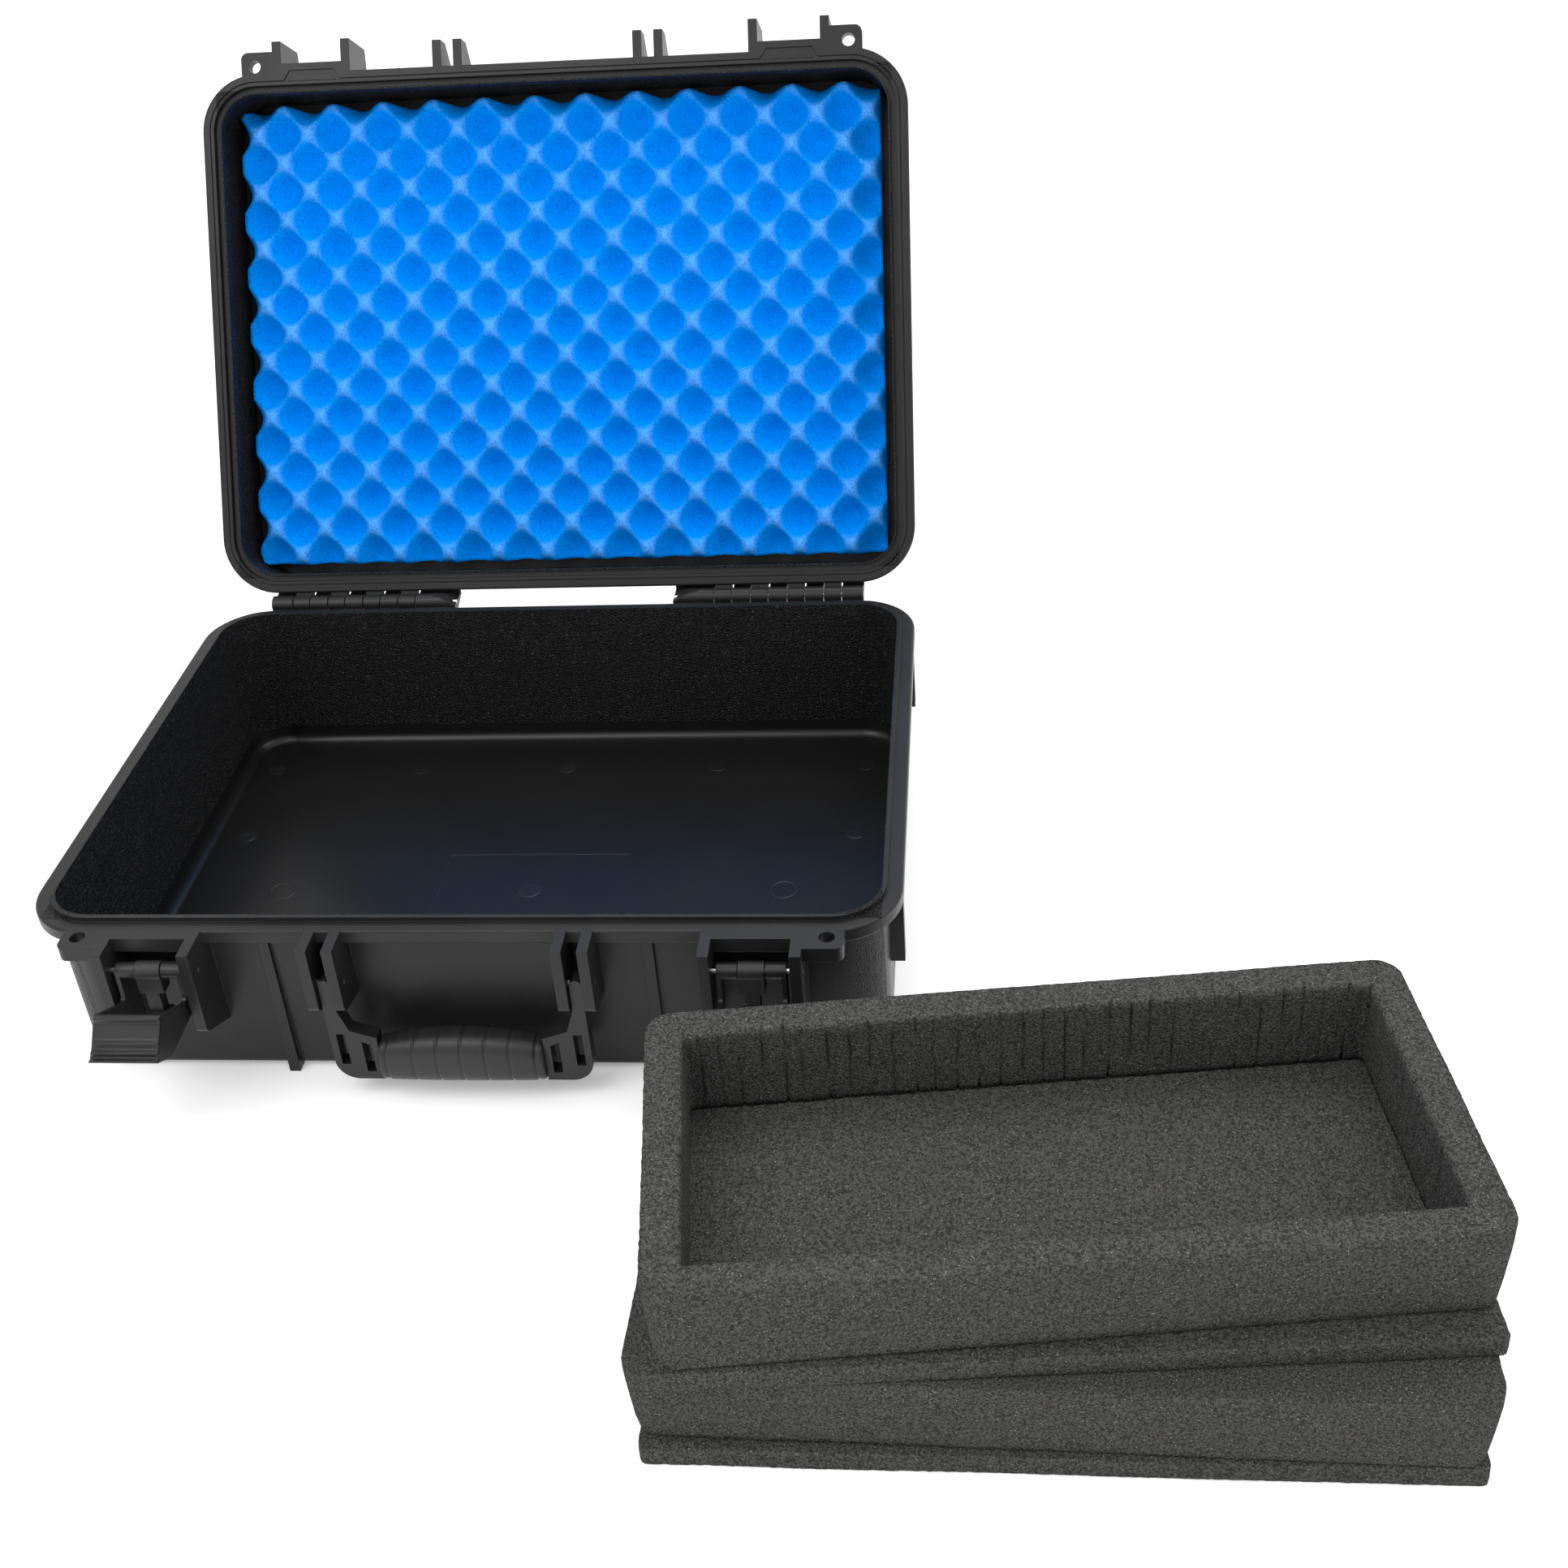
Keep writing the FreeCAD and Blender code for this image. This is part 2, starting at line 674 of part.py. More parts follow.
def lid_rim_lines(body):
    """Thin groove along the parting face, which steps out round each latch place."""
    line = outline(body, "lid_rim_line", "XY_Plane", inset_rectangle("rim_line_inset"), "parting_gap",
                   hole=inset_rectangle("rim_line_inset", "rim_line_width"))
    pocket(body, line, "rim_line_depth", reverse=True)
    near = f"{FRONT} + rim_line_inset + rim_line_width"
    far = f"{FRONT} - notch_outset"
    recess = outline(body, "lid_notch", "XY_Plane", rim_notch("0", near, far), "parting_gap")
    bar = outline(body, "lid_notch_bar", "XY_Plane",
                  rim_notch("notch_band", f"{near} - rim_line_width/4", f"{far} + notch_band"),
                  "parting_gap")
    mirror(body, [pocket(body, recess, "rim_line_depth", reverse=True),
                  pad(body, bar, "rim_line_depth")], "lid_notch_mirror")


def lid_hinge(body):
    """Fingers that sit between the base's knuckles on the right-hand half."""
    features = []
    for index, (near, far) in enumerate(hinge_slots()):
        near_play = f"{near} + knuckle_play"
        width = "knuckle_pitch - knuckle_width - 2*knuckle_play"
        web = [
            (f"rim_depth/2 - {WALL_ROOT}", "parting_gap + flange_round"),
            (HINGE_Y, "parting_gap + flange_round"),
            (f"{HINGE_Y} + knuckle_radius/4", "knuckle_radius - flange_round/4"),
            (f"rim_depth/2 - {WALL_ROOT}", "parting_gap + flange_height - flange_round/2"),
        ]
        sketch = outline(body, f"lid_finger_{index}_web", "YZ_Plane", web, near_play)
        features.append(pad(body, sketch, width))
        barrel = circle(body, f"lid_finger_{index}", "YZ_Plane", HINGE_Y, "0",
                        "knuckle_radius - parting_gap", near_play)
        features.append(pad(body, barrel, width))
    return features


def place_on_lid(body):
    """Turns a piece that was drawn for the shut lid back to the open position."""
    angle = value("lid_open_angle")
    swing = FreeCAD.Rotation(FreeCAD.Vector(1, 0, 0), -angle)
    hinge_y = value(HINGE_Y)
    turned = swing.multVec(FreeCAD.Vector(0, -hinge_y, 0))
    base = FreeCAD.Vector(0, hinge_y, value(RIM_HEIGHT)) + turned
    body.Placement = FreeCAD.Placement(base, swing)
    arm = f"({formula(HINGE_Y)})"
    opening = "Sizes.lid_open_angle * 1deg"
    body.setExpression(".Placement.Base.y", f"{arm} * (1 - cos({opening}))")
    body.setExpression(".Placement.Base.z", f"{formula(RIM_HEIGHT)} + {arm} * sin({opening})")


def build_lid():
    """Moulded lid with its seal groove, fins, padlock tabs and hinge fingers."""
    body = new_body("lid_shell")
    rim = outline(body, "lid_rim", "XY_Plane", inset_rectangle(), "parting_gap")
    pad(body, rim, "flange_height")
    round_edges(body, "lid_rim_round", "flange_round", lambda edge: True)
    crown = outline(body, "lid_crown", "XY_Plane", inset_rectangle("wall_inset"),
                    "parting_gap + flange_height/2")
    pad(body, crown, "lid_height - flange_height/2", taper="- lid_draft")
    round_edges(body, "lid_crown_round", "lid_round", flat_at(value("parting_gap + lid_height")))
    rail = rectangle("rib_place - crown_rib_width/2", "rib_place + crown_rib_width/2",
                     "- rim_depth/2 + 3*lid_round", "rim_depth/2 - 3*lid_round")
    sketch = outline(body, "lid_crown_rib", "XY_Plane", rail, "parting_gap + lid_height - lid_skin/2")
    features = [pad(body, sketch, "lid_skin/2 + crown_rib_height")]
    features += lid_fins(body)
    features += front_tabs(body, "lid", "parting_gap", downward=False)
    features += lid_hinge(body)
    mirror(body, features, "lid_mirror")
    hinge_bore = circle(body, "lid_hinge_bore", "YZ_Plane", HINGE_Y, "0",
                        "hinge_pin_radius + hinge_play")
    pocket(body, hinge_bore)
    mouth = outline(body, "lid_mouth", "XY_Plane", inset_rectangle("lid_lip_inset"), "parting_gap")
    pocket(body, mouth, "flange_height + flange_round", reverse=True)
    inside = outline(body, "lid_inside", "XY_Plane", inset_rectangle("wall_inset", "wall_thickness"),
                     "parting_gap + flange_height")
    pocket(body, inside, "lid_height - flange_height - lid_skin", reverse=True, taper="- lid_draft")
    groove = outline(body, "lid_groove", "XY_Plane", inset_rectangle(*GROOVE_OUTSIDE),
                     "parting_gap", hole=inset_rectangle(*GROOVE_INSIDE))
    pocket(body, groove, "groove_depth", reverse=True)
    lid_rim_lines(body)
    place_on_lid(body)
    return body


def build_gasket():
    """Rubber seal at the bottom of the lid's groove."""
    body = new_body("lid_gasket")
    ring = outline(body, "gasket_ring", "XY_Plane",
                   inset_rectangle(*GROOVE_OUTSIDE, "gasket_play"),
                   "parting_gap + groove_depth - gasket_height",
                   hole=inset_rectangle("wall_inset", "wall_thickness", "groove_play + gasket_play"))
    pad(body, ring, "gasket_height")
    place_on_lid(body)


def build_lid_foam():
    """Foam sheet against the lid's ceiling."""
    body = new_body("lid_foam")
    sheet_sides = ("wall_inset", "wall_thickness", "lid_foam_play")
    half_width = " - ".join(("rim_width/2", *sheet_sides))
    half_depth = " - ".join(("rim_depth/2", *sheet_sides))
    block = rounded_rectangle(half_width, half_depth, "lid_foam_corner")
    sketch = outline(body, "lid_foam_sheet", "XY_Plane", block,
                     "parting_gap + lid_height - lid_skin - foam_glue - lid_foam_height")
    pad(body, sketch, "lid_foam_height")
    place_on_lid(body)


# ---- Latches, drawn about their pins ----

def place_at(body, x_text, y_text, z_text, side=1):
    """Puts a body's origin at a place, on the left when side is -1."""
    x_formula = formula(x_text)
    if side < 0:
        x_formula = f"-({x_formula})"
    body.setExpression(".Placement.Base.x", x_formula)
    body.setExpression(".Placement.Base.y", formula(y_text))
    body.setExpression(".Placement.Base.z", formula(z_text))


def build_lever(name, side):
    """Latch lever: two side webs, a lip plate, an outer skin and the hub barrels."""
    body = new_body(name)
    web = [
        ("- lever_leg_half", "0"),
        ("- lever_leg_half", "- lever_leg_drop + 2*lever_leg_half", "lever_leg_round"),
        ("- lever_rise_reach", "- lever_rise_drop"),
        ("- lever_lip_reach", "- lever_lip_drop", "lever_lip_round"),
        ("- lever_belly_reach", "- lever_belly_drop", "lever_belly_round"),
        ("- lever_leg_half/2", "- lever_leg_drop", "lever_leg_round"),
        ("lever_leg_half", "- lever_leg_drop + lever_leg_half"),
        ("lever_leg_half", "0"),
    ]
    pad(body, outline(body, "lever_web", "YZ_Plane", web), "lever_width", symmetric=True)
    inner_top = "2*lever_hub_radius"
    inner = [
        ("2*lever_hub_radius", inner_top),
        ("- lever_rise_reach + 3*lever_skin/4", inner_top),
        ("- lever_rise_reach + 3*lever_skin/4", "- lever_rise_drop - 2*lever_skin/3"),
        ("- lever_lip_reach + 5*lever_skin/3", "- lever_lip_drop + lever_skin/3"),
        ("- lever_belly_reach", "- lever_belly_drop + lever_skin"),
        ("- lever_skin_start", "- lever_belly_drop + lever_skin"),
        ("- lever_skin_start", "- lever_belly_drop - lever_skin"),
        ("2*lever_hub_radius", "- lever_belly_drop - lever_skin"),
    ]
    sketch = outline(body, "lever_inside", "YZ_Plane", inner)
    pocket(body, sketch, "lever_width - 2*lever_web", symmetric=True)
    hub = circle(body, "lever_hub", "YZ_Plane", "0", "0", "lever_hub_radius",
                 "claw_width/2 + claw_side_play")
    hub_pad = pad(body, hub, "lever_width/2 - claw_width/2 - claw_side_play")
    mirror(body, [hub_pad], "lever_mirror")
    bore = circle(body, "lever_bore", "YZ_Plane", "0", "0", "latch_pin_radius + latch_play")
    pocket(body, bore)
    place_at(body, LATCH_X, LATCH_PIN_Y, f"{RIM_HEIGHT} - latch_pin_drop", side)


def build_claw(name, side):
    """Claw that hangs from the pin and hooks over the lid's ledge when it is swung up."""
    body = new_body(name)
    grip = "latch_pin_drop + flange_height + parting_gap + claw_grip_gap"
    tip = f"{grip} + claw_nose_height"
    knuckle = circle(body, "claw_knuckle", "YZ_Plane", "0", "0", "claw_knuckle_radius")
    pad(body, knuckle, "claw_width", symmetric=True)
    shank = rectangle("- claw_shank_front", "claw_shank_back", negative(tip), "0")
    pad(body, outline(body, "claw_shank", "YZ_Plane", shank), "claw_shank_width", symmetric=True)
    block = rectangle("- claw_shank_front", "2*claw_shank_back", "- claw_block_drop", "0")
    pad(body, outline(body, "claw_block", "YZ_Plane", block), "claw_width", symmetric=True)
    nose = [
        ("claw_shank_back", negative(grip)),
        ("claw_shank_back", negative(tip)),
        ("- claw_shank_front - claw_nose_reach", f"{negative(tip)} + claw_nose_height/3", "claw_nose_round"),
        ("- claw_shank_front - claw_nose_reach", negative(grip)),
    ]
    pad(body, outline(body, "claw_nose", "YZ_Plane", nose), "claw_width", symmetric=True)
    bore = circle(body, "claw_bore", "YZ_Plane", "0", "0", "latch_pin_radius + latch_play")
    pocket(body, bore)
    place_at(body, LATCH_X, LATCH_PIN_Y, f"{RIM_HEIGHT} - latch_pin_drop", side)


def build_pin(name, side, near, length, y_text, z_text, radius):
    """Steel pin along X."""
    body = new_body(name)
    sketch = circle(body, "pin_round", "YZ_Plane", "0", "0", radius)
    pad(body, sketch, length, reverse=side < 0)
    place_at(body, near, y_text, z_text, side)


# ---- Carrying handle, drawn about its pins ----

def build_handle_frame():
    """Two slotted arms joined by the core bar that runs through the grip."""
    body = new_body("handle_frame")
    outer = "handle_spacing/2 + arm_width/2"
    inner = "handle_spacing/2 - arm_width/2"
    foot = "- arm_length"
    grip_end = "grip_length/2"
    arm = [
        (outer, "arm_depth/2", "arm_tip_round"),
        (inner, "arm_depth/2", "arm_tip_round"),
        (inner, "- arm_shoulder"),
        (f"{inner} - slot_width", "- arm_shoulder - 3*slot_width"),
        (grip_end, "- arm_shoulder - 4*slot_width"),
        (grip_end, foot),
        (outer, foot, "arm_corner"),
    ]
    arm_pad = pad(body, outline(body, "handle_arm", "XZ_Plane", arm), "arm_depth", symmetric=True)
    slot_foot = f"{foot} + slot_foot"
    outer_slot = rectangle(f"{outer} - arm_rim - slot_width", f"{outer} - arm_rim",
                           slot_foot, f"{slot_foot} + slot_height")
    inner_foot = f"{foot} + slot_foot/2"
    inner_slot = [
        (f"{grip_end} + arm_rim", inner_foot),
        (f"{grip_end} + arm_rim + slot_width", inner_foot),
        (f"{grip_end} + arm_rim + slot_width", f"{inner_foot} + slot_height"),
        (f"{grip_end} + arm_rim", f"{inner_foot} + slot_height - slot_width/2"),
    ]
    cuts = []
    for name, corners in (("outer", outer_slot), ("inner", inner_slot)):
        sketch = outline(body, f"handle_{name}_slot", "XZ_Plane", corners)
        cuts.append(pocket(body, sketch, "2*arm_depth", symmetric=True))
    bore = circle(body, "handle_bore", "YZ_Plane", "0", "0", "handle_pin_radius + handle_play", inner)
    cuts.append(pocket(body, bore, "arm_width", reverse=True))
    core = circle(body, "handle_core", "YZ_Plane", "0", "- grip_drop", "grip_core_radius")
    core_pad = pad(body, core, "grip_length/2 + arm_rim/2")
    mirror(body, [arm_pad, *cuts, core_pad], "handle_mirror")
    place_at(body, "0", HANDLE_PIN_Y, f"{RIM_HEIGHT} - handle_pin_drop")


def build_grip():
    """Soft grip that swells towards the middle, moulded round the core bar."""
    body = new_body("handle_grip")
    bottom = "- grip_drop - grip_end_height/2"
    sections = (
        ("left", "- grip_length/2 + grip_play", "grip_end_depth", "grip_end_height"),
        ("middle", "0", "grip_middle_depth", "grip_middle_height"),
        ("right", "grip_length/2 - grip_play", "grip_end_depth", "grip_end_height"),
    )
    sketches = []
    for name, place, depth, height in sections:
        round_size = f"{depth}/2 - grip_flat"
        corners = [
            (f"{depth}/2", bottom, round_size),
            (f"{depth}/2", f"{bottom} + {height}", round_size),
            (f"- {depth}/2", f"{bottom} + {height}", round_size),
            (f"- {depth}/2", bottom, round_size),
        ]
        sketches.append(outline(body, f"grip_{name}", "YZ_Plane", corners, place))
    loft = body.newObject("PartDesign::AdditiveLoft", "grip_loft")
    loft.Profile = sketches[0]
    loft.Sections = sketches[1:]
    bore = circle(body, "grip_bore", "YZ_Plane", "0", "- grip_drop", "grip_core_radius + grip_play")
    pocket(body, bore)
    place_at(body, "0", HANDLE_PIN_Y, f"{RIM_HEIGHT} - handle_pin_drop")


# ---- Loose foam inserts, stacked beside the case ----

def build_insert(name, thickness, level, corner="insert_corner", width="insert_width", yaw="",
                 advance="0", cavity=False):
    """One foam layer, turned by its yaw; the top one is a frame with a rectangular cavity."""
    body = new_body(name)
    plan = rounded_rectangle(f"{width}/2", "insert_depth/2", corner)
    hole = ()
    if cavity:
        hole = rounded_rectangle(f"{width}/2 - insert_wall", "insert_depth/2 - insert_wall",
                                 "insert_cavity_corner")
    pad(body, outline(body, f"{name}_plan", "XY_Plane", plan, hole=hole), thickness)
    if yaw:
        turned = FreeCAD.Rotation(FreeCAD.Vector(0, 0, 1), value(yaw))
        body.Placement = FreeCAD.Placement(FreeCAD.Vector(0, 0, 0), turned)
    place_at(body, INSERT_X, f"{INSERT_Y} + {advance}", level)


build_base()
build_lid()
build_gasket()
build_lid_foam()
for side, word in ((-1, "left"), (1, "right")):
    build_lever(f"latch_lever_{word}", side)
    build_claw(f"latch_claw_{word}", side)
    build_pin(f"latch_pin_{word}", side, f"{LATCH_X} - pocket_width/2 - ear_thickness",
              LATCH_PIN_LENGTH, LATCH_PIN_Y, f"{RIM_HEIGHT} - latch_pin_drop", "latch_pin_radius")
    build_pin(f"handle_pin_{word}", side, "handle_spacing/2 - handle_slot/2 - handle_ear_thickness",
              HANDLE_PIN_LENGTH, HANDLE_PIN_Y, f"{RIM_HEIGHT} - handle_pin_drop",
              "handle_pin_radius")
    build_pin(f"hinge_pin_{word}", side, HINGE_PIN_X,
              HINGE_PIN_LENGTH, HINGE_Y, RIM_HEIGHT, "hinge_pin_radius")
build_handle_frame()
build_grip()
build_insert("foam_pad_base", "pad_thickness", "0", corner="pad_corner")
build_insert("foam_block_lower", "block_thickness", "pad_thickness", width="block_width",
             yaw="block_yaw")
build_insert("foam_pad_upper", "pad_thickness", "pad_thickness + block_thickness",
             corner="pad_corner", yaw="upper_pad_yaw", advance="upper_pad_advance")
build_insert("foam_frame", "frame_thickness", "2*pad_thickness + block_thickness",
             yaw="frame_yaw", advance="frame_advance", cavity=True)


# ---- Check every object, then write the pieces ----

doc.recompute()
faults = [item.Name for item in doc.Objects if {"Invalid", "Error"} & set(item.State)]
if faults:
    raise RuntimeError(f"these objects failed: {faults}")
for cut in [item for item in doc.Objects if item.TypeId == "PartDesign::Pocket"]:
    if cut.BaseFeature.Shape.Volume - cut.Shape.Volume < SMALLEST_CUT:
        raise RuntimeError(f"{cut.Name} removes nothing")
os.makedirs("parts", exist_ok=True)
for piece in PIECES:
    if piece.Shape.isNull() or not piece.Shape.isValid():
        raise RuntimeError(f"{piece.Label} has no valid shape")
    piece.Shape.exportStep(f"parts/{piece.Label}.step")
    box = piece.Shape.BoundBox
    print(f"{piece.Label}: {piece.Shape.Volume / 1000:.2f} cm3, {len(piece.Shape.Solids)} solid, "
          f"x {box.XMin:.1f}..{box.XMax:.1f}, y {box.YMin:.1f}..{box.YMax:.1f}, "
          f"z {box.ZMin:.1f}..{box.ZMax:.1f}")
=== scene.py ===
"""Looks for the hard equipment case: camera, studio, materials, foam, grip and moulded details.

Everything is in metres in the frame of the CAD model: +X right, +Y back, +Z up.
"""

import json
import math

import bpy
import numpy as np
from mathutils import Matrix, Vector, noise


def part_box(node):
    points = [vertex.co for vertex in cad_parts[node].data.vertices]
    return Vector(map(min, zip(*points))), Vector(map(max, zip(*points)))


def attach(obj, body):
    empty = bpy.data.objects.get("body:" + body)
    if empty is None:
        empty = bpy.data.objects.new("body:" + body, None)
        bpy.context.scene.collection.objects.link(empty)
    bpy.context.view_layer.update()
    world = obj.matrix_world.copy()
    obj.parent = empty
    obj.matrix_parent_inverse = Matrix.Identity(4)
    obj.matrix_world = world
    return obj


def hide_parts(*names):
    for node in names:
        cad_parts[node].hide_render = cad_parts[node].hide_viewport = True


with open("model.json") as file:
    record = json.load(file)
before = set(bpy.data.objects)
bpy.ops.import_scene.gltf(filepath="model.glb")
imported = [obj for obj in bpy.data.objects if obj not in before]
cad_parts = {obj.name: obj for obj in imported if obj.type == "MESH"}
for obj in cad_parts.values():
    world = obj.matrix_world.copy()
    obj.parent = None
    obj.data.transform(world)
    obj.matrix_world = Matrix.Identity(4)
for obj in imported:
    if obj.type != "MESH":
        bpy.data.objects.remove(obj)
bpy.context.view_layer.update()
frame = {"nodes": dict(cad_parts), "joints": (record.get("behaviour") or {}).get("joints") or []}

MM = 0.001
SIDES = ("left", "right")


def find_joint(name):
    """The frame's description of a joint."""
    return next(joint for joint in frame["joints"] if joint["name"] == name)


# ---- Camera and studio ----

CAMERA_PLACE = (0.2961, -1.0125, 0.7766)
CAMERA_TURN = 6.74
CAMERA_TILT = 58.44
CAMERA_ROLL = -4.30
CAMERA_LENS = 44.6
CAMERA_SHIFT = -0.060

# Name, place, target, size and power in watts of each light.
LIGHTS = (
    ("key", (-0.9, -1.3, 2.4), (0.1, 0.0, 0.1), (1.6, 1.6), 28.0),
    ("top", (0.5, 0.9, 2.6), (0.1, 0.0, 0.1), (2.4, 1.4), 30.0),
    ("right", (2.4, -0.6, 1.4), (0.2, 0.0, 0.1), (1.4, 1.4), 12.0),
)
FLOOR_HALF = 14.0
FLOOR_DROP = 0.2 * MM


def make_camera():
    """Camera above the front right of the case, looking down at it."""
    data = bpy.data.cameras.new("camera")
    data.lens = CAMERA_LENS
    data.shift_y = CAMERA_SHIFT
    data.clip_start = 0.01
    data.clip_end = 100.0
    camera = bpy.data.objects.new("camera", data)
    turned = Matrix.Rotation(math.radians(CAMERA_TURN), 4, "Z")
    tilted = Matrix.Rotation(math.radians(CAMERA_TILT), 4, "X")
    rolled = Matrix.Rotation(math.radians(CAMERA_ROLL), 4, "Z")
    camera.matrix_world = Matrix.Translation(CAMERA_PLACE) @ turned @ tilted @ rolled
    bpy.context.scene.collection.objects.link(camera)
    bpy.context.scene.camera = camera


def area_light(name, place, target, size, power):
    """Soft rectangular light that faces a target."""
    data = bpy.data.lights.new(name, "AREA")
    data.shape = "RECTANGLE"
    data.size, data.size_y = size
    data.energy = power
    lamp = bpy.data.objects.new(name, data)
    lamp.location = place
    lamp.rotation_mode = "QUATERNION"
    lamp.rotation_quaternion = (Vector(target) - Vector(place)).to_track_quat("-Z", "Y")
    bpy.context.scene.collection.objects.link(lamp)


def make_studio():
    """Pale floor, even white surroundings and three soft lights."""
    world = bpy.data.worlds.new("studio")
    world.use_nodes = True
    background = world.node_tree.nodes["Background"]
    background.inputs["Color"].default_value = (1.0, 1.0, 1.0, 1.0)
    background.inputs["Strength"].default_value = 1.0
    bpy.context.scene.world = world
    bpy.context.scene.view_settings.view_transform = "Standard"
    for light in LIGHTS:
        area_light(*light)
    corners = [(x * FLOOR_HALF, y * FLOOR_HALF, 0) for x, y in ((-1, -1), (1, -1), (1, 1), (-1, 1))]
    mesh = bpy.data.meshes.new("studio_floor")
    mesh.from_pydata(corners, [], [(0, 1, 2, 3)])
    floor = bpy.data.objects.new("studio_floor", mesh)
    floor.location.z = -FLOOR_DROP
    bpy.context.scene.collection.objects.link(floor)
    mesh.materials.append(floor_paper())


# ---- Node helpers ----

class Recipe:
    """A node material under construction, with a Principled surface.

    The first colour and roughness are the plain ones, for where the textures aren't used.
    """

    def __init__(self, name, color, roughness, **sockets):
        self.material = bpy.data.materials.new(name)
        self.material.use_nodes = True
        self.tree = self.material.node_tree
        self.surface = self.tree.nodes["Principled BSDF"]
        self.set("Base Color", color)
        self.set("Roughness", roughness)
        for socket, amount in sockets.items():
            self.set(socket.replace("_", " "), amount)
        place = self.add("ShaderNodeTexCoord")
        self.place = place.outputs["Object"]

    def set(self, socket, amount):
        """Sets or links one socket of the surface."""
        self.join(self.surface.inputs[socket], amount)

    def join(self, socket, amount):
        """Links an output to a socket, or sets the socket's own value."""
        if isinstance(amount, bpy.types.NodeSocket):
            self.tree.links.new(amount, socket)
        elif isinstance(amount, tuple) and len(amount) == 3 and socket.type == "RGBA":
            socket.default_value = (*amount, 1.0)
        else:
            socket.default_value = amount

    def add(self, kind, inputs=(), **settings):
        """Adds a node, with its settings and its inputs by name or number."""
        node = self.tree.nodes.new(kind)
        for key, setting in settings.items():
            setattr(node, key, setting)
        for key, amount in dict(inputs).items():
            self.join(node.inputs[key], amount)
        return node

    def calc(self, operation, first, second=0.0):
        """One step of arithmetic."""
        return self.add("ShaderNodeMath", {0: first, 1: second}, operation=operation).outputs[0]

    def fade(self, amount, start, end):
        """0 before start, 1 after end, and smooth between."""
        node = self.add("ShaderNodeMapRange", {"Value": amount, "From Min": start, "From Max": end},
                        interpolation_type="SMOOTHSTEP")
        return node.outputs["Result"]

    def spread(self, amount, low, high):
        """Maps 0..1 to low..high."""
        node = self.add("ShaderNodeMapRange", {"Value": amount, "To Min": low, "To Max": high})
        return node.outputs["Result"]

    def blend(self, share, first, second):
        """Mixes two colours."""
        node = self.add("ShaderNodeMix", {"Factor": share}, data_type="RGBA")
        self.join(node.inputs[6], first)
        self.join(node.inputs[7], second)
        return node.outputs[2]

    def grain(self, scale, detail=3.0, roughness=0.55, distortion=0.0):
        """Fractal noise, 0..1."""
        node = self.add("ShaderNodeTexNoise", {
            "Vector": self.place, "Scale": scale, "Detail": detail,
            "Roughness": roughness, "Distortion": distortion})
        return node.outputs["Fac"]

    def cells(self, scale, feature="F1"):
        """Distance to the nearest cell centre, or to the nearest cell edge."""
        node = self.add("ShaderNodeTexVoronoi", {"Vector": self.place, "Scale": scale}, feature=feature)
        return node.outputs["Distance"]

    def run(self, direction, start=(0.0, 0.0, 0.0)):
        """How far a place lies past start in a direction."""
        offset = self.add("ShaderNodeVectorMath", {0: self.place, 1: start}, operation="SUBTRACT")
        node = self.add("ShaderNodeVectorMath", {0: offset.outputs["Vector"], 1: tuple(direction)},
                        operation="DOT_PRODUCT")
        return node.outputs["Value"]

    def bump(self, height, depth, under=None, edge=0.0):
        """Bumps the surface by a height map of the given depth in metres.

        under is an earlier bump's normal, and edge the radius of softened edges.
        """
        node = self.add("ShaderNodeBump", {"Height": height, "Distance": depth, "Strength": 1.0})
        if under is not None:
            self.join(node.inputs["Normal"], under)
        elif edge:
            bevel = self.add("ShaderNodeBevel", {"Radius": edge}, samples=4)
            self.join(node.inputs["Normal"], bevel.outputs["Normal"])
        self.set("Normal", node.outputs["Normal"])
        return node.outputs["Normal"]


# ---- Materials ----

INNER_HALF_WIDTH = 241.2 * MM
INNER_HALF_DEPTH = 173.8 * MM


def floor_paper():
    """White seamless paper."""
    recipe = Recipe("floor_paper", (0.93, 0.93, 0.93), 0.9)
    fibres = recipe.grain(60.0, 4.0)
    recipe.set("Base Color", recipe.blend(fibres, (0.925, 0.925, 0.925), (0.94, 0.94, 0.94)))
    recipe.set("Emission Color", (1.0, 1.0, 1.0))
    recipe.set("Emission Strength", 0.24)
    return recipe.material


def wear(recipe, color, lighter, amount):
    """Colour with cloudy handling marks."""
    clouds = recipe.grain(9.0, 5.0, 0.6, 0.4)
    patches = recipe.fade(clouds, 0.42, 0.72)
    return recipe.blend(recipe.calc("MULTIPLY", patches, amount), color, lighter)


